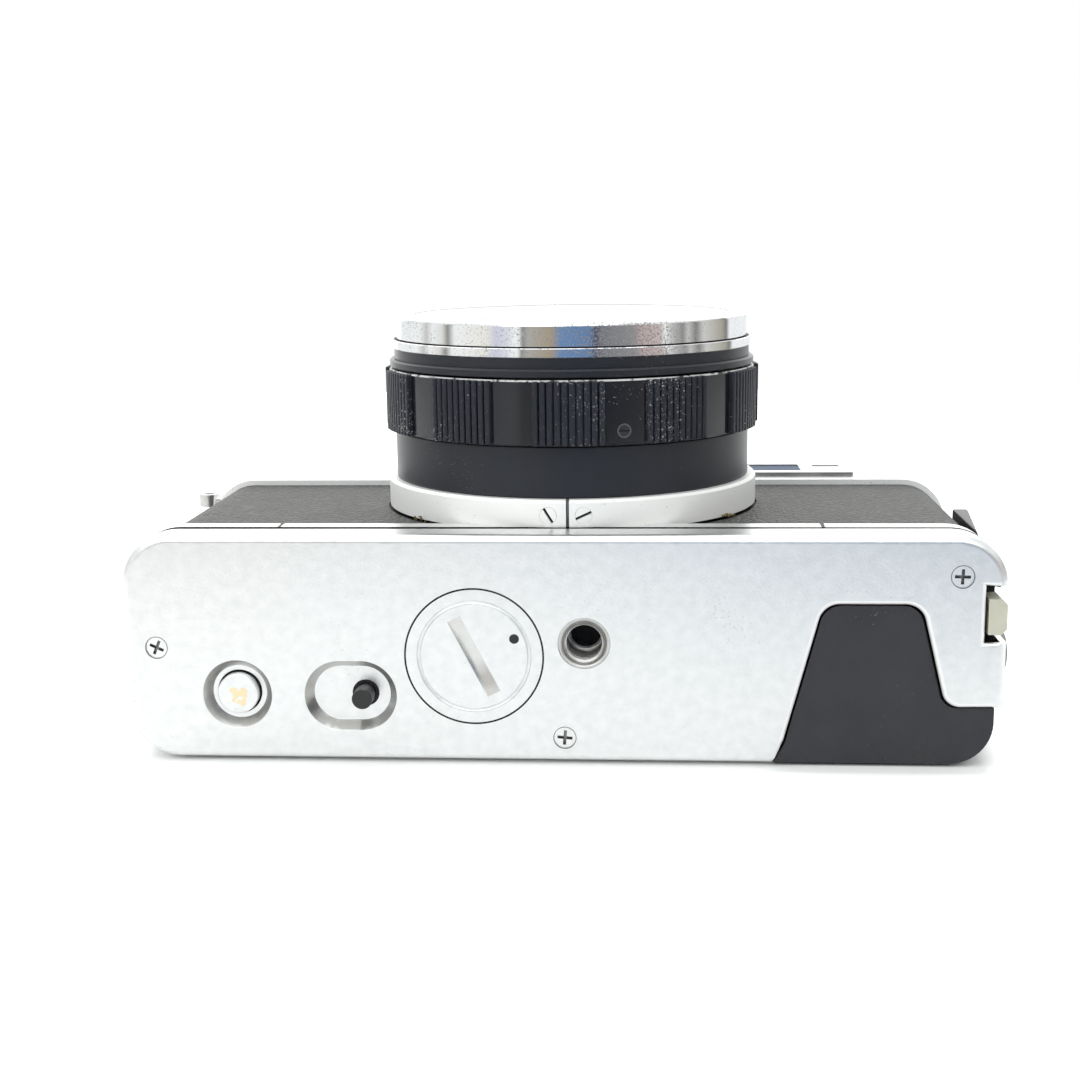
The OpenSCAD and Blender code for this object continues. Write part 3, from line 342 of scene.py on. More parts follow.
def finish(name, tone, metal, rough, cloud=None, specks=None, bump=None, shine=0.5):
    material, tree = new_material(name)
    shader = tree.nodes["Principled BSDF"].inputs
    colour = (*tone, 1.0)
    shader["Base Color"].default_value = colour
    shader["Metallic"].default_value = metal
    shader["Roughness"].default_value = rough
    shader["Specular IOR Level"].default_value = shine
    if cloud:
        scale, contrast, second = cloud
        waves = {"Scale": scale, "Contrast": contrast}
        mask = add_node(tree, "ShaderNodeGroup", waves, node_tree=CLOUDS).outputs["Mask"]
        colour = tone_mix(tree, mask, colour, (*second, 1.0))
    if specks:
        scale, cover, softness, second, speck_rough = specks
        dots = {"Scale": scale, "Cover": cover, "Softness": softness}
        mask = add_node(tree, "ShaderNodeGroup", dots, node_tree=SPECKS).outputs["Mask"]
        colour = tone_mix(tree, mask, colour, (*second, 1.0))
        level = add_node(tree, "ShaderNodeMapRange", {"Value": mask, "To Min": rough, "To Max": speck_rough})
        tree.links.new(level.outputs[0], shader["Roughness"])
    if cloud or specks:
        tree.links.new(colour, shader["Base Color"])
    if bump:
        scale, strength, depth = bump
        where = add_node(tree, "ShaderNodeTexCoord").outputs["Object"]
        grain = add_node(tree, "ShaderNodeTexNoise", {"Vector": where, "Scale": scale, "Detail": 4.0})
        lift = add_node(tree, "ShaderNodeBump", {
            "Height": grain.outputs[0], "Strength": strength, "Distance": depth})
        tree.links.new(lift.outputs[0], shader["Normal"])
    return material


print("finish helper ready")

# %% [markdown]
# Satin plate scatters light in small clouds, and chrome is smooth with tiny pits on the worn lens front.
# The lens band reads paler than bare metal, so it is only partly metallic.

# %% Metal finishes
satin_plate = finish("satin_plate", (0.88, 0.885, 0.885), 1.0, 0.33, (620.0, 2.4, (0.80, 0.81, 0.81)),
                     (2100.0, 0.15, 0.10, (0.60, 0.59, 0.57), 0.45), (2600.0, 0.06, 0.0004))
band_plate = finish("band_plate", (0.95, 0.955, 0.935), 0.30, 0.44, (160.0, 1.4, (0.90, 0.905, 0.885)),
                    (2200.0, 0.13, 0.08, (0.55, 0.54, 0.50), 0.5), (2600.0, 0.05, 0.0004))
bright_chrome = finish("bright_chrome", (0.86, 0.865, 0.87), 1.0, 0.12)
pitted_chrome = finish("pitted_chrome", (0.88, 0.885, 0.89), 1.0, 0.07, None,
                       (3400.0, 0.26, 0.07, (0.42, 0.41, 0.41), 0.40))
# painted highlight: a pale half-diffuse finish that makes the rolled lip brighter than the plate
lip_highlight_finish = finish("lip_highlight_finish", (0.90, 0.90, 0.90), 0.45, 0.40)
# painted highlight: a pale half-diffuse finish on the chrome ring's inner cone, in place of its bright
# reflection
cone_highlight_finish = finish("cone_highlight_finish", (0.78, 0.785, 0.785), 0.35, 0.38)
plain_steel = finish("plain_steel", (0.66, 0.66, 0.65), 1.0, 0.28, (300.0, 1.6, (0.50, 0.49, 0.47)))
worn_slot = finish("worn_slot", (0.78, 0.78, 0.765), 1.0, 0.30, (500.0, 2.0, (0.66, 0.655, 0.64)))
dark_steel = finish("dark_steel", (0.30, 0.29, 0.28), 1.0, 0.38, (400.0, 1.6, (0.16, 0.155, 0.15)))
aged_cream = finish("aged_cream", (0.60, 0.59, 0.49), 0.15, 0.42, (300.0, 1.2, (0.50, 0.49, 0.40)))
warm_brass = finish("warm_brass", (0.76, 0.60, 0.30), 1.0, 0.35)
print("metal finishes made")

# %% [markdown]
# The blacks differ in gloss: the door is dull, the barrel is silky, and the focus ring's flats are glossy.
# Pale specks are dust and worn paint, and they are thickest on the ribs and on the ring's front corner.
# The trim seam's painted dirt and shade, the residue and the faded mark on the rewind button have flat tones of
# their own.

# %% Black and dirty finishes
door_black = finish("door_black", (0.028, 0.028, 0.034), 0.0, 0.50, (120.0, 1.2, (0.040, 0.040, 0.043)),
                    (3200.0, 0.10, 0.05, (0.28, 0.27, 0.25), 0.85), (1600.0, 0.10, 0.0003), shine=0.3)
barrel_black = finish("barrel_black", (0.021, 0.023, 0.029), 0.0, 0.30, None,
                      (3600.0, 0.09, 0.05, (0.26, 0.26, 0.26), 0.8), shine=0.24)
ring_black = finish("ring_black", (0.006, 0.008, 0.013), 0.0, 0.17, (200.0, 1.3, (0.012, 0.012, 0.013)),
                    (3200.0, 0.11, 0.06, (0.36, 0.36, 0.36), 0.85), shine=0.55)
rib_black = finish("rib_black", (0.021, 0.023, 0.031), 0.0, 0.40, None,
                   (3300.0, 0.165, 0.05, (0.50, 0.50, 0.50), 0.85), shine=0.18)
worn_edge = finish("worn_edge", (0.012, 0.012, 0.013), 0.0, 0.4, None,
                   (900.0, 0.40, 0.08, (0.62, 0.62, 0.62), 0.5), shine=0.3)
inner_black = finish("inner_black", (0.012, 0.012, 0.013), 0.0, 0.55, shine=0.3)
pin_black = finish("pin_black", (0.012, 0.012, 0.013), 0.0, 0.38)
grub_steel = finish("grub_steel", (0.018, 0.018, 0.020), 0.0, 0.35, shine=0.45)
grub_edge = finish("grub_edge", (0.09, 0.09, 0.095), 0.0, 0.35, shine=0.45)
paint_orange = finish("paint_orange", (0.84, 0.72, 0.46), 0.0, 0.6)
# painted dirt and shade for the dark line at the trim seam
seam_dirt_and_shade = finish("seam_dirt_and_shade", (0.016, 0.016, 0.016), 0.0, 1.0, shine=0.0)
old_residue = finish("old_residue", (0.16, 0.12, 0.05), 0.0, 0.7)
print("black and dirty finishes made")

# %% [markdown]
# ## Leather
# The leather is a coarse embossed cloth: rounded pebbles with thin valleys between them.
# A cell texture gives the pebbles, and at this low angle the room's glare turns the black to grey.

# %% Leather finish
PEBBLE_SCALE, VALLEY_WIDTH, PEBBLE_BUMP, PEBBLE_DEPTH = 820.0, 0.22, 0.95, 0.00017
leather = finish("pebbled_leather", (0.050, 0.051, 0.048), 0.0, 0.50,
                 (150.0, 1.4, (0.070, 0.071, 0.067)),
                 (2200.0, 0.12, 0.06, (0.20, 0.20, 0.19), 0.85), shine=0.30)
skin = leather.node_tree
skin_where = add_node(skin, "ShaderNodeTexCoord").outputs["Object"]
pebbles = add_node(skin, "ShaderNodeTexVoronoi", {"Vector": skin_where, "Scale": PEBBLE_SCALE},
                   feature="DISTANCE_TO_EDGE")
valley = add_node(skin, "ShaderNodeMapRange", {
    "Value": pebbles.outputs["Distance"], "From Max": VALLEY_WIDTH})
skin_bump = add_node(skin, "ShaderNodeBump", {
    "Height": valley.outputs[0], "Strength": PEBBLE_BUMP, "Distance": PEBBLE_DEPTH})
skin.links.new(skin_bump.outputs[0], skin.nodes["Principled BSDF"].inputs["Normal"])
print("leather made")

# %% [markdown]
# ## Glass
# The finder's pane looks blue and nearly flat in the picture: its dark blue is a painted reflection on an
# opaque pane. The meter's pane is milky, and has a painted look too.
# The eyepiece, the counter's window and the lens are real glass, the lens with a violet coating.

# %% Glass finishes


def glass_finish(name, tone):
    material, tree = new_material(name)
    shader = tree.nodes["Principled BSDF"].inputs
    shader["Base Color"].default_value = (*tone, 1.0)
    shader["Roughness"].default_value = 0.0
    shader["Transmission Weight"].default_value = 1.0
    shader["IOR"].default_value = 1.5
    return material


# painted reflection: the finder pane's dark blue stands in for what it reflects
blue_reflection_pane = finish("blue_reflection_pane", (0.075, 0.105, 0.17), 0.0, 0.45, shine=0.05)
frosted_pane = finish("frosted_pane", (0.80, 0.82, 0.84), 0.0, 0.35)
clear_glass = glass_finish("clear_glass", (0.93, 0.95, 0.98))
coated_glass = glass_finish("coated_glass", (0.40, 0.36, 0.60))
print("glass finishes made")

# %% [markdown]
# ## Covers and small parts with softened edges
# A pressed or machined edge is never perfectly sharp, and the small round is what catches the light.
# The solids already have the right shape, so each one is copied and its loose triangles are joined.
# Then a bevel rounds its edges, and the result is kept as a plain mesh.
# The copy stands for the solid and rides on the same body.

# %% Softening helper
WELD, FLAT_ANGLE = 0.000002, math.radians(0.6)
EDGE_ANGLE, SHARP_ANGLE = math.radians(38), math.radians(32)
EDGE_STEPS, LIP_STEPS, LIP_R = 2, 4, 0.6


def settle(piece):
    bpy.context.view_layer.update()
    ready = piece.evaluated_get(bpy.context.evaluated_depsgraph_get())
    mesh = bpy.data.meshes.new_from_object(ready)
    piece.modifiers.clear()
    piece.data = mesh
    return mesh


def softened(node, material, width, body, slot, inside=(), roll=None):
    mesh = nodes[node].data.copy()
    mesh.materials.clear()
    shape = bmesh.new()
    shape.from_mesh(mesh)
    bmesh.ops.remove_doubles(shape, verts=shape.verts, dist=WELD)
    bmesh.ops.dissolve_limit(shape, angle_limit=FLAT_ANGLE, verts=shape.verts, edges=shape.edges)
    if roll:
        lip = [edge for edge in shape.edges if roll(edge)]
        bmesh.ops.bevel(shape, geom=lip, offset=LIP_R * MM, segments=LIP_STEPS, profile=0.5,
                        affect="EDGES", clamp_overlap=False)
        print("lip edges:", len(lip))
    shape.to_mesh(mesh)
    shape.free()
    mesh.materials.append(material)
    mesh.shade_smooth()
    piece = bpy.data.objects.new(node + "_dressed", mesh)
    scene.collection.objects.link(piece)
    if width > 0:
        edge = piece.modifiers.new("soft_edges", "BEVEL")
        edge.width = width * MM
        edge.segments = EDGE_STEPS
        edge.limit_method = "ANGLE"
        edge.angle_limit = EDGE_ANGLE
        edge.use_clamp_overlap = True
    else:
        mesh.set_sharp_from_angle(angle=SHARP_ANGLE)
    even = piece.modifiers.new("even_faces", "WEIGHTED_NORMAL")
    even.weight = 100
    even.keep_sharp = True
    rounded = settle(piece)
    for number, (extra, belongs) in enumerate(inside, 1):
        rounded.materials.append(extra)
        for face in rounded.polygons:
            if belongs(face.center / MM, face.normal):
                face.material_index = number
    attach(piece, body)
    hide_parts(node)
    return piece


print("softening helper ready")

# %% [markdown]
# The bottom cover's edge is rolled over where it meets the door's black tongue, so it gets a larger round.
# A rule picks it: a sharp edge in the base plane, right of the tongue's side and clear of the corner screw.

# %% Rolled lip
LIP_X, LIP_FLAT, LIP_BEND = 26.4, 1e-5, 0.7
LIP_SCREW, LIP_SCREW_R = Vector((53.5, -10.0)), 2.5


def on_lip(edge):
    flat = all(abs(v.co.z) < LIP_FLAT and v.co.x > LIP_X * MM for v in edge.verts)
    spot = (edge.verts[0].co + edge.verts[1].co) / 2 / MM
    clear = (spot.xy - LIP_SCREW).length > LIP_SCREW_R
    return flat and clear and edge.calc_face_angle(0) > LIP_BEND


ROLLED = {"bottom_cover": on_lip}
print("rolled covers:", list(ROLLED))

# %% [markdown]
# Some faces need a second finish: the dishes' walls, the rolled lip with a painted highlight, the coin slot and
# the screws' slots.
# A rule for each looks at a face's middle, in millimetres, and at the way it points.

# %% Faces with a second finish
LENS_X, LENS_Y0, LENS_Z = -3.33, 1.4, 36.0
REWIND_AT, PIN_FROM, PIN_TO = Vector((-51.3, 8.0)), Vector((-36.0, 8.1)), Vector((-32.8, 8.1))
DISH_R, DISH_TOP, DISH_FLOOR = 5.35, 0.03, 1.66
ROLL_X1, ROLL_Y0, ROLL_Y1 = 58.9, -7.5, 14.5
BATTERY_X, BATTERY_Y, COIN_R, COIN_TOP = -16.05, 2.05, 7.3, 0.02
CROSS_TOP, BAND_FACE, TOP_FRONT_Y = 0.24, 29.55, -10.0
# How far a face may lean, as the part of its direction that points up.
DISH_LEAN, ROLL_LEAN, TOP_UNDER, BEZEL_UNDER = (-0.97, -0.2), (-0.985, -0.12), -0.6, -0.7


def in_dish(c, n):
    along = max(PIN_FROM.x, min(PIN_TO.x, c.x))
    near = min((c.xy - REWIND_AT).length, (c.xy - Vector((along, PIN_FROM.y))).length)
    return near < DISH_R and DISH_TOP < c.z < DISH_FLOOR and DISH_LEAN[0] < n.z < DISH_LEAN[1]


def on_roll(c, n):
    inside = LIP_X < c.x < ROLL_X1 and ROLL_Y0 < c.y < ROLL_Y1 and c.z < LIP_R
    return inside and ROLL_LEAN[0] < n.z < ROLL_LEAN[1]


def in_coin_slot(c, n):
    return c.z > COIN_TOP and math.hypot(c.x - BATTERY_X, c.y - BATTERY_Y) < COIN_R


INSIDE = {
    "bottom_cover": ((plain_steel, in_dish), (lip_highlight_finish, on_roll)),
    # painted light: the top cover's wall under the leather faces the picture camera and takes the paler band
    # finish so it reads white
    "top_cover": ((band_plate, lambda c, n: n.z < TOP_UNDER and c.y < TOP_FRONT_Y),),
    "base_screws": ((dark_steel, lambda c, n: c.z > CROSS_TOP),),
    "band_screws": ((inner_black, lambda c, n: math.hypot(c.x - LENS_X, c.z - LENS_Z) < BAND_FACE),),
    "battery_cover": ((worn_slot, in_coin_slot),),
    # painted shade: the finder bezel's underside takes dark steel so it reads as in shade
    "finder_bezel": ((dark_steel, lambda c, n: n.z < BEZEL_UNDER),),
}
print("pieces with a second finish:", list(INSIDE))

# %% [markdown]
# Each row names a solid, its finish, the width of its rounded edges, its body and its slot.
# Wide rounds go to castings and levers, narrow ones to thin covers and screws.

# %% Dress the solids
DRESSED = [
    ("bottom_cover", satin_plate, 0.12, "frame", "satin_silver"),
    ("top_cover", satin_plate, 0.16, "frame", "satin_silver"),
    ("front_trim", satin_plate, 0.12, "frame", "satin_silver"),
    ("front_leather", leather, 0.0, "frame", "leatherette"),
    ("door_leather", leather, 0.1, "door", "leatherette"),
    ("rear_door", door_black, 0.3, "door", "black_paint"),
    ("body_casting", inner_black, 0.0, "frame", "black_paint"),
    ("base_screws", satin_plate, 0.05, "frame", "steel"),
    ("battery_cover", satin_plate, 0.14, "battery_cap", "satin_silver"),
    ("rewind_button", satin_plate, 0.25, "rewind_release", "chrome"),
    ("check_pin", pin_black, 0.2, "cell_check", "black_plastic"),
    ("latch_bar", aged_cream, 0.5, "latch", "cream_plate"),
    ("latch_catch", pin_black, 0.25, "latch", "black_plastic"),
    ("sync_socket", dark_steel, 0.2, "frame", "steel"),
    ("strap_lug", plain_steel, 0.25, "frame", "steel"),
    ("band_screws", band_plate, 0.08, "frame", "steel"),
    ("focus_screw", grub_steel, 0.06, "focus", "steel"),
    ("finder_bezel", satin_plate, 0.15, "frame", "satin_silver"),
    ("rewind_knob", satin_plate, 0.15, "rewind", "satin_silver"),
    ("rewind_crank", bright_chrome, 0.2, "crank", "chrome"),
    ("advance_lever", bright_chrome, 0.25, "lever", "chrome"),
    ("lever_cap", satin_plate, 0.3, "lever", "satin_silver"),
    ("shutter_button", bright_chrome, 0.3, "release", "chrome"),
    ("release_collar", satin_plate, 0.2, "frame", "satin_silver"),
    ("accessory_shoe", bright_chrome, 0.2, "frame", "chrome"),
    ("eyepiece_frame", inner_black, 0.15, "frame", "black_plastic"),
    ("take_up_spool", inner_black, 0.15, "spool", "black_plastic"),
    ("film_sprocket", plain_steel, 0.1, "sprocket", "steel"),
    ("pressure_plate", inner_black, 0.2, "film_plate", "black_paint"),
    ("hinge_pin", plain_steel, 0.1, "frame", "steel"),
]
dressed = {row[0]: softened(*row, INSIDE.get(row[0], ()), ROLLED.get(row[0])) for row in DRESSED}
print("dressed:", len(dressed))

# %% [markdown]
# The battery check pin is flush with the base in the solids, and stands about 2 mm out in the photograph.
# Only the end that shows is drawn out, and its foot stays where it is.

# %% Draw out the check pin
PIN_OUT, PIN_FOOT = 2.05, 1.0
for v in dressed["check_pin"].data.vertices:
    if v.co.z < PIN_FOOT * MM:
        v.co.z -= PIN_OUT * MM
print("check pin out by", PIN_OUT, "mm")

# %% [markdown]
# Small parts inside the body, and the flat panes, need no softer edges, so their solids only get a finish.

# %% Solids that keep their own mesh
KEPT = {
    "button_cell": plain_steel, "battery_contact": warm_brass, "counter_disc": inner_black,
    "finder_tunnel": inner_black, "plate_spring": plain_steel, "rewind_shaft": plain_steel,
    "shutter_case": inner_black, "shutter_blade_a": dark_steel, "shutter_blade_b": dark_steel,
    "finder_window": blue_reflection_pane, "meter_window": frosted_pane, "eyepiece_glass": clear_glass,
    "counter_window": clear_glass, "rear_element": clear_glass,
}
for name, material in KEPT.items():
    nodes[name].data.materials.clear()
    nodes[name].data.materials.append(material)
print("kept:", len(KEPT))

# %% [markdown]
# ## The lens, ring by ring
# Every lens ring is a turned part, so its outline is drawn once and turned about the lens axis.
# An outline is a row of points, each a distance forward from the body's middle and a radius, in millimetres.
# Many narrow steps keep the chrome smooth, and each corner has a small chamfer that catches the light.
# Single steps of an outline can have a finish of their own.

# %% Turning helper
TURN_STEPS, TURN_SHARP, TURN_WELD = 288, math.radians(28), 1e-7


def lens_point(h, r, angle):
    return Vector((LENS_X + r * math.sin(angle), LENS_Y0 - h, LENS_Z - r * math.cos(angle))) * MM


def made(shape, name, body, slot, *materials):
    mesh = bpy.data.meshes.new(name)
    shape.to_mesh(mesh)
    shape.free()
    for material in materials:
        mesh.materials.append(material)
    piece = bpy.data.objects.new(name, mesh)
    scene.collection.objects.link(piece)
    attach(piece, body)
    return piece


def turned(name, outline, material, body, slot, *stands_for, steps=TURN_STEPS, closed=True,
           point=lens_point, inner=()):
    extras = [extra for chosen, extra in inner]
    finish_of = {j: number for number, (chosen, extra) in enumerate(inner, 1) for j in chosen}
    shape = bmesh.new()
    loops = []
    for k in range(steps):
        angle = 2 * math.pi * k / steps
        loops.append([shape.verts.new(point(h, r, angle)) for h, r in outline])
    for k in range(steps):
        a, b = loops[k], loops[(k + 1) % steps]
        for j in range(len(outline) if closed else len(outline) - 1):
            i = (j + 1) % len(outline)
            face = shape.faces.new((a[j], a[i], b[i], b[j]))
            face.material_index = finish_of.get(j, 0)
    bmesh.ops.remove_doubles(shape, verts=shape.verts, dist=TURN_WELD)
    bmesh.ops.recalc_face_normals(shape, faces=shape.faces)
    piece = made(shape, name, body, slot, material, *extras)
    piece.data.shade_smooth()
    piece.data.set_sharp_from_angle(angle=TURN_SHARP)
    if stands_for:
        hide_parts(*stands_for)
    return piece


print("turning helper ready")

# %% [markdown]
# The barrel is a plain black tube, and the front cell slides in it with a narrow black collar.
# The chrome ring has a black groove near its foot, and a rounded front that mirrors the whole room.
# Inside its lip, painted dark as shade, a cone painted pale as a highlight leads down to the stepped black name
# ring, left without any words.

# %% Barrel, front cell, chrome ring and name ring
BARREL = [(15.9, 21.96), (15.9, 25.98), (21.35, 25.98), (21.35, 28.4), (21.55, 28.6), (28.85, 28.6),
          (29.0, 28.45), (29.0, 26.0), (38.6, 26.0), (38.6, 21.96)]
FRONT_CELL = [(21, 11.5), (21, 21.9), (39.05, 21.9), (39.05, 29.1), (39.2, 29.3), (40.05, 29.3),
              (40.3, 29.0), (40.3, 28.6), (41.9, 28.55), (41.9, 13.02), (36, 13.02), (36, 11.5)]
BEZEL = [(41.9, 23.2), (41.9, 28.55), (42.02, 28.7), (43.22, 28.7), (43.32, 28.6), (43.34, 27.9),
         (43.48, 27.9), (43.52, 28.1), (46.38, 28.1), (46.45, 28.1), (46.75, 27.98), (47.05, 27.5),
         (47.17, 27.0), (47.2, 26.4), (47.2, 25.3), (47.1, 25.0), (44.6, 22.5), (43.3, 22.5), (43.3, 23.2)]
# the lip step takes dark steel as painted shade, the cone a pale finish as painted highlight
BEZEL_GROOVE, BEZEL_LIP, BEZEL_CONE = (4, 5, 6), (14,), (15,)
NAME_RING = [(41.9, 12.4), (41.9, 23.18), (43.3, 23.18), (43.3, 20.6), (42.9, 18.4), (42.6, 18.2),
             (42.45, 16.0), (42.2, 15.8), (42.0, 12.4)]
barrel = turned("barrel_tube_turned", BARREL, barrel_black, "frame", "black_paint", "barrel_tube")
front_cell = turned("front_cell_turned", FRONT_CELL, barrel_black, "lens_cell", "black_paint", "front_cell")
bezel = turned("lens_bezel_turned", BEZEL, pitted_chrome, "lens_cell", "chrome", "lens_bezel",
               inner=((BEZEL_GROOVE, inner_black), (BEZEL_LIP, dark_steel), (BEZEL_CONE, cone_highlight_finish)))
name_ring = turned("name_ring_turned", NAME_RING, inner_black, "lens_cell", "black_paint", "name_ring")
print("turned rings:", [o.name for o in (barrel, front_cell, bezel, name_ring)])

# %% [markdown]
# The front glass has a flat back and a domed front, so part of a circle closes its outline on the axis.

# %% Front glass
GLASS_BACK, GLASS_EDGE, GLASS_R = 36, 39.0, 12.98
DOME_R, DOME_TOP, DOME_RIM, DOME_STEPS = 34.0, 41.6, 12.9, 13
glass_outline = [(GLASS_BACK, 0), (GLASS_BACK, GLASS_R), (GLASS_EDGE, GLASS_R)]
for k in range(DOME_STEPS + 1):
    r = DOME_RIM * (1 - k / DOME_STEPS)
    glass_outline.append((DOME_TOP - DOME_R + math.sqrt(DOME_R * DOME_R - r * r), r))
front_glass = turned("front_element_turned", glass_outline, coated_glass, "lens_cell", "glass",
                     "front_element", steps=96, closed=False)
print("front glass faces:", len(front_glass.data.polygons))

# %% [markdown]
# ## The split band
# The band is a strip bent round the barrel's foot, and two slotted screws hold its ends, with a slit between.
# The slit's walls are painted black as shade, and each screw is turned about its own axis to the angle seen in
# the photograph.

# %% Band and its screws
SLIT_ANGLE, SLIT_NEAR, SLIT_WALL = math.radians(1.5), 0.02, 0.9
BAND_SCREWS = ((-4.0, -58.0), (6.0, 24.0))      # place round the band and turn of the slot, in degrees
SCREW_H, SCREW_R, SCREW_REACH = 19.05, 29.0, 2.0


# painted shade: the slit's walls take black
def in_slit(c, n):
    angle = math.atan2(c.x - LENS_X, LENS_Z - c.z)
    return abs(angle - SLIT_ANGLE) < SLIT_NEAR and abs(n.x) > SLIT_WALL


band = softened("lens_band", band_plate, 0.05, "frame", "satin_silver", ((inner_black, in_slit),))
for place, slot_turn in BAND_SCREWS:
    angle = math.radians(place)
    axis = Vector((math.sin(angle), 0.0, -math.cos(angle)))
    pivot = lens_point(SCREW_H, SCREW_R, angle)
    spin = Matrix.Rotation(math.radians(slot_turn), 4, axis)
    spin = Matrix.Translation(pivot) @ spin @ Matrix.Translation(-pivot)
    for v in dressed["band_screws"].data.vertices:
        if (v.co - pivot).xy.length < SCREW_REACH * MM:
            v.co = spin @ v.co
print("band faces:", len(band.data.polygons))

# %% [markdown]
# ## The ribbed focus ring
# Eleven grips of ten ribs each alternate with smooth flats that are cut a little lower.
# Geometry Nodes place one rib at each angle that a rule gives.
# That is easier to change than a hundred modelled ribs.
# A rib's number gives its grip and its place in the grip, and those two give its angle.

# %% Rib tree
RIB_H0, RIB_H1, RIB_TOP, RIB_FOOT, RIB_WIDTH = 29.3, 38.65, 30.2, 29.2, 0.86
RIB_INPUTS = {
    "Grips": 11, "Ribs": 10, "Grip angle": math.radians(20.8), "First grip": math.radians(2.0),
    "Radius": 0.5 * (RIB_TOP + RIB_FOOT) * MM, "Rib width": RIB_WIDTH * MM,
    "Rib length": (RIB_H1 - RIB_H0) * MM, "Rib height": (RIB_TOP - RIB_FOOT) * MM,
}


def rib_tree():
    tree = bpy.data.node_groups.new("focus_ribs", "GeometryNodeTree")
    for label, value in RIB_INPUTS.items():
        kind = "NodeSocketInt" if isinstance(value, int) else "NodeSocketFloat"
        tree.interface.new_socket(label, in_out="INPUT", socket_type=kind).default_value = value
    tree.interface.new_socket("Geometry", in_out="OUTPUT", socket_type="NodeSocketGeometry")
    given = add_node(tree, "NodeGroupInput").outputs

    def total(operation, *terms):
        return sum_of(tree, operation, *terms)

    number = add_node(tree, "GeometryNodeInputIndex").outputs[0]
    grip = total("FLOOR", total("DIVIDE", number, given["Ribs"]))
    rib = total("SUBTRACT", number, total("MULTIPLY", grip, given["Ribs"]))
    pitch = total("DIVIDE", 2 * math.pi, given["Grips"])
    share = total("SUBTRACT", total("DIVIDE", total("ADD", rib, 0.5), given["Ribs"]), 0.5)
    grip_angle = total("ADD", total("MULTIPLY", grip, pitch), given["First grip"])
    angle = total("ADD", grip_angle, total("MULTIPLY", share, given["Grip angle"]))
    x = total("MULTIPLY", total("SINE", angle), given["Radius"])
    z = total("MULTIPLY", total("COSINE", angle), total("MULTIPLY", given["Radius"], -1.0))
    place = add_node(tree, "ShaderNodeCombineXYZ", {0: x, 2: z})
    row = add_node(tree, "GeometryNodePoints", {
        "Count": total("MULTIPLY", given["Grips"], given["Ribs"]), "Position": place.outputs[0]})
    size = add_node(tree, "ShaderNodeCombineXYZ", {
        0: given["Rib width"], 1: given["Rib length"], 2: given["Rib height"]})
    bar = add_node(tree, "GeometryNodeMeshCube", {"Size": size.outputs[0]})
    lean = add_node(tree, "ShaderNodeCombineXYZ", {1: total("MULTIPLY", angle, -1.0)})
    copies = add_node(tree, "GeometryNodeInstanceOnPoints", {
        "Points": row.outputs[0], "Instance": bar.outputs["Mesh"], "Rotation": lean.outputs[0]})
    real = add_node(tree, "GeometryNodeRealizeInstances", {0: copies.outputs[0]})
    add_node(tree, "NodeGroupOutput", {0: real.outputs[0]})
    return tree


print("rib inputs:", list(RIB_INPUTS))

# %% [markdown]
# The grown bars are moved to the lens, and every edge is rounded, as worn ribs have no sharp corners.
# The core under them is turned like the other rings, with bare metal showing on its front corner.

# %% Ribs and their core
RIB_ROUND, RIB_SHARP = 0.2, math.radians(40)
CORE = [(29.15, 26.1), (29.15, 29.2), (29.35, 29.4), (38.55, 29.4), (38.8, 29.15), (38.8, 26.1)]
CORE_CORNER = (3,)
ribs = bpy.data.objects.new("focus_ribs", bpy.data.meshes.new("focus_ribs"))
scene.collection.objects.link(ribs)
ribs.modifiers.new("grow", "NODES").node_group = rib_tree()
rib_mesh = settle(ribs)
rib_middle = Vector((LENS_X, LENS_Y0 - 0.5 * (RIB_H0 + RIB_H1), LENS_Z)) * MM
rib_mesh.transform(Matrix.Translation(rib_middle))
soft = bmesh.new()
soft.from_mesh(rib_mesh)
bmesh.ops.bevel(soft, geom=list(soft.edges), offset=RIB_ROUND * MM, segments=3, profile=0.5, affect="EDGES")
soft.to_mesh(rib_mesh)
soft.free()
rib_mesh.materials.clear()
rib_mesh.materials.append(rib_black)
rib_mesh.shade_smooth()
rib_mesh.set_sharp_from_angle(angle=RIB_SHARP)
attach(ribs, "focus")
turned("focus_ring_turned", CORE, ring_black, "focus", "black_paint", "focus_ring",
       inner=((CORE_CORNER, worn_edge),))
print("rib faces:", len(rib_mesh.polygons))

# %% [markdown]
# A small grub screw holds the focus ring, in one of its smooth flats.
# Its solid ends a little lower, so it is drawn out to the flat's surface, and a fine rim shows its hole's edge.

# %% Grub screw
GRUB_ANGLE, GRUB_H, GRUB_OUT = math.radians(18.0), 31.3, 29.46
GRUB_RIM = [(29.38, 0.86), (29.43, 0.86), (29.45, 0.95), (29.43, 1.06), (29.38, 1.06)]
outward = Vector((math.sin(GRUB_ANGLE), 0.0, -math.cos(GRUB_ANGLE)))
sideways = Vector((math.cos(GRUB_ANGLE), 0.0, math.sin(GRUB_ANGLE)))
grub = dressed["focus_screw"].data
grub_end = max(math.hypot(v.co.x / MM - LENS_X, v.co.z / MM - LENS_Z) for v in grub.vertices)
grub.transform(Matrix.Translation(outward * (GRUB_OUT - grub_end) * MM))


def grub_point(h, r, angle):
    across = sideways * math.cos(angle) + Vector((0, 1, 0)) * math.sin(angle)
    return lens_point(GRUB_H, h, GRUB_ANGLE) + across * r * MM


turned("grub_rim", GRUB_RIM, grub_edge, "focus", "steel", steps=48, point=grub_point)
print("grub screw reached", round(grub_end, 3), "mm")

# %% [markdown]
# ## The tripod socket
# A quarter inch socket has twenty turns to the inch, so its wall shows four or five bright crests.
# Rings of that pitch stand in for the spiral, which can't be told apart at this size.
# The roots between the crests, and two steps of the mouth, are darker.

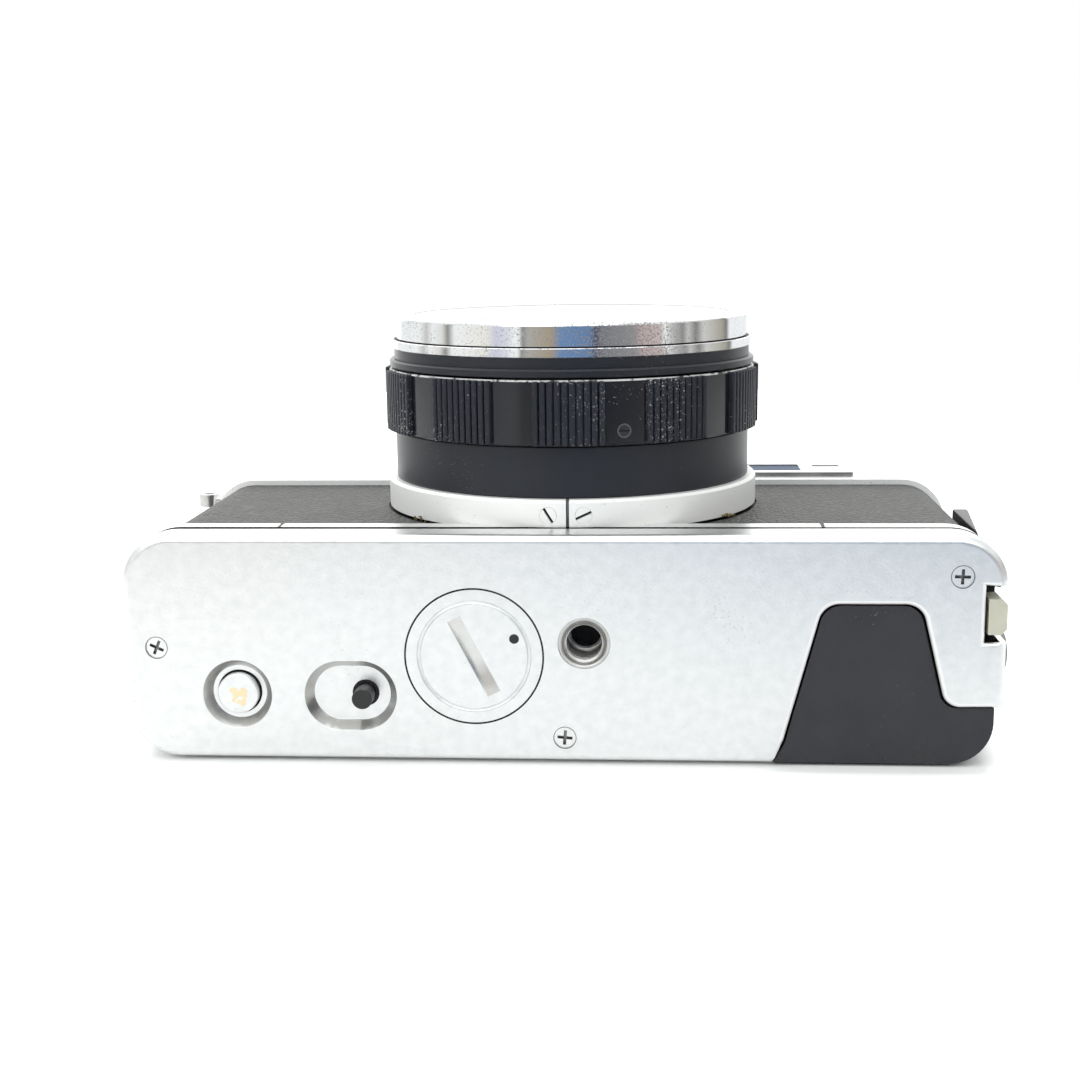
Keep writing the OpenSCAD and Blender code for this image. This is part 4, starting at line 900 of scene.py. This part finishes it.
# %% Socket with its crests
SOCKET_R, SOCKET_CREST, SOCKET_PITCH, SOCKET_DEPTH = 2.9, 2.6, 1.27, 6.9
THREAD_START, CREST_END, ROOT_START, ROOT_END = 0.75, 0.25, 0.55, 0.95
MOUTH = [(1.4, 3.8), (0.12, 3.8), (0.05, 3.72), (0.05, 3.5), (0.2, 3.32), (0.2, 3.2), (0.42, 3.05),
         (0.42, 2.95), (0.65, 2.75)]
MOUTH_DARK = {4, 6}
SOCKET_END = [(7.1, SOCKET_CREST), (7.1, 2.3), (8.3, 2.3), (8.3, 5.0), (1.4, 5.0)]


def socket_point(h, r, angle):
    return Vector((r * math.cos(angle), r * math.sin(angle), h)) * MM


socket_outline, dark_steps = list(MOUTH), set(MOUTH_DARK)
thread = THREAD_START
while thread + SOCKET_PITCH < SOCKET_DEPTH:
    dark_steps |= {len(socket_outline) + 1, len(socket_outline) + 2}
    socket_outline += [(thread, SOCKET_CREST), (thread + CREST_END, SOCKET_CREST),
                       (thread + ROOT_START, SOCKET_R), (thread + ROOT_END, SOCKET_R)]
    thread += SOCKET_PITCH
socket = turned("tripod_bush_turned", socket_outline + SOCKET_END, plain_steel, "frame", "steel",
                "tripod_bush", steps=96, point=socket_point, inner=((dark_steps, dark_steel),))
print("socket faces:", len(socket.data.polygons))

# %% [markdown]
# ## The seam under the trim
# Dirt and shade make the joint between the trim and the bottom cover a fine dark line.
# A narrow black ribbon of painted dirt and shade follows the body's outline there, from the left end round the
# front to the latch. On the left, where the plate is brightest, the painted shade is a little wider so that the
# line still shows.

# %% Seam ribbon
HALF_W, FRONT, ROUND, ROUND_STEPS = 64.0, 17.3, 7.5, 16
SHIFT_X, SHIFT_Y = -3.9, 1.4
SEAM_LEFT_Y, SEAM_RIGHT_Y = 4.0, -8.7
# the extra width on the left is painted shade
SEAM_Z0, SEAM_Z1, SEAM_LEFT_SHADE = 5.65, 6.5, 0.6
SEAM_OUTER, SEAM_INNER = -0.02, 0.5


def outline_path(inset):
    path = [(-HALF_W + inset, SEAM_LEFT_Y)]
    for side, start in ((-1, 180), (1, 270)):
        for k in range(ROUND_STEPS + 1):
            angle = math.radians(start + 90 * k / ROUND_STEPS)
            path.append((side * (HALF_W - ROUND) + (ROUND - inset) * math.cos(angle),
                         -(FRONT - ROUND) + (ROUND - inset) * math.sin(angle)))
    return path + [(HALF_W - inset, SEAM_RIGHT_Y)]


ribbon = bmesh.new()
rows = []
for (xo, yo), (xi, yi) in zip(outline_path(SEAM_OUTER), outline_path(SEAM_INNER)):
    low = SEAM_Z0 - (SEAM_LEFT_SHADE if xo < 0 else 0.0)
    section = ((xo, yo, low), (xo, yo, SEAM_Z1), (xi, yi, SEAM_Z1), (xi, yi, low))
    rows.append([ribbon.verts.new(Vector((x + SHIFT_X, y + SHIFT_Y, z)) * MM) for x, y, z in section])
for a, b in zip(rows, rows[1:]):
    for k in range(4):
        ribbon.faces.new((a[k], a[(k + 1) % 4], b[(k + 1) % 4], b[k]))
ribbon.faces.new(rows[0])
ribbon.faces.new(rows[-1])
bmesh.ops.recalc_face_normals(ribbon, faces=ribbon.faces)
made(ribbon, "trim_seam", "frame", "black_paint", seam_dirt_and_shade)
print("seam steps:", len(rows))

# %% [markdown]
# ## Dark rings
# Thin dark rings lie in the gap round the battery cover, at the rims of the base screws and in the check pin's
# hole.
# Each is a thin flat ring that stands a hundredth of a millimetre proud, so that it shows as a clean fine line.

# %% Dark rings
BASE_SCREWS = ((-63.1, 1.0), (-2.9, 14.25), (53.5, -10.0))
PIN_HOLE = (-32.4, 8.1)


def base_ring(name, middle, radii, heights, material, slot):
    def point(h, r, angle):
        return Vector((middle[0] + r * math.cos(angle), middle[1] + r * math.sin(angle), h)) * MM

    (r0, r1), (z0, z1) = radii, heights
    turned(name, [(z0, r0), (z0, r1), (z1, r1), (z1, r0)], material, "frame", slot, steps=128, point=point)


base_ring("battery_gap", (BATTERY_X, BATTERY_Y), (9.97, 10.24), (-0.012, 0.1), inner_black, "black_paint")
for k, spot in enumerate(BASE_SCREWS):
    base_ring("screw_rim_%d" % k, spot, (1.58, 1.7), (-0.008, 0.1), dark_steel, "steel")
base_ring("pin_hole", PIN_HOLE, (1.55, 2.0), (1.66, 1.8), inner_black, "black_paint")
print("dirt rings:", 2 + len(BASE_SCREWS))

# %% [markdown]
# ## Residue at the band
# Old grease has come out under the lens band at two places, in small brown lumps.
# They are rough balls of random size, strewn along a short arc.

# %% Lumps of residue
RESIDUE_AT, LUMPS, LUMP_ARC = (-48.0, 55.0), 9, 3.5
RESIDUE_H, RESIDUE_R = 16.75, 30.05
SPREAD_H, SPREAD_R, LUMP_SIZE = (-0.1, 0.5), (0.0, 0.5), (0.12, 0.3)
rng = random.Random(7)
residue = bmesh.new()
for place in RESIDUE_AT:
    for k in range(LUMPS):
        angle = math.radians(place + rng.uniform(-LUMP_ARC, LUMP_ARC))
        spot = lens_point(RESIDUE_H + rng.uniform(*SPREAD_H), RESIDUE_R + rng.uniform(*SPREAD_R), angle)
        lump = bmesh.ops.create_icosphere(residue, subdivisions=1, radius=rng.uniform(*LUMP_SIZE) * MM)
        bmesh.ops.translate(residue, verts=lump["verts"], vec=spot)
made(residue, "band_residue", "frame", "brass", old_residue)
print("lumps:", LUMPS * len(RESIDUE_AT))

# %% [markdown]
# ## Dot and flakes
# A black dot on the battery cover shows which way its slot is turned.
# The rewind button keeps a few flakes of an orange mark.
# Both are thin patches on their own moving pieces, round for the dot and of random outline for the flakes.
# Each flake stands a little further out than the one before it, so that no two faces share a plane.

# %% Dot and flakes
PATCH_OUT, PATCH_DEEP, FLAKE_STEP = 0.015, 0.03, 0.004


def thin_patch(name, middle, radius, height, material, body, slot, corners, rough=0.0, flakes=1, spread=0.0):
    shape = bmesh.new()
    for flake in range(flakes):
        x0 = middle[0] + rng.uniform(-spread, spread)
        y0 = middle[1] + rng.uniform(-spread, spread)
        ring = []
        for k in range(corners):
            r = radius * (1 - rough * rng.random())
            angle = 2 * math.pi * k / corners
            ring.append((x0 + r * math.cos(angle), y0 + r * math.sin(angle)))
        low = [shape.verts.new(Vector((x, y, height - FLAKE_STEP * flake)) * MM) for x, y in ring]
        high = [shape.verts.new(Vector((x, y, height + PATCH_DEEP)) * MM) for x, y in ring]
        shape.faces.new(low)
        shape.faces.new(high)
        for k in range(corners):
            n = (k + 1) % corners
            shape.faces.new((low[k], low[n], high[n], high[k]))
    bmesh.ops.recalc_face_normals(shape, faces=shape.faces)
    made(shape, name, body, slot, material)


cover_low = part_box("battery_cover")[0][2] / MM
cap_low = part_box("rewind_button")[0][2] / MM
thin_patch("cover_dot", (-10.15, -0.64), 0.72, cover_low - PATCH_OUT, pin_black, "battery_cap",
           "black_plastic", corners=24)
thin_patch("button_flakes", (-51.3, 8.3), 0.7, cap_low - PATCH_OUT, paint_orange, "rewind_release",
           "brass", corners=9, rough=0.7, flakes=9, spread=0.95)
print("cover face at", round(cover_low, 3), "cap face at", round(cap_low, 3))
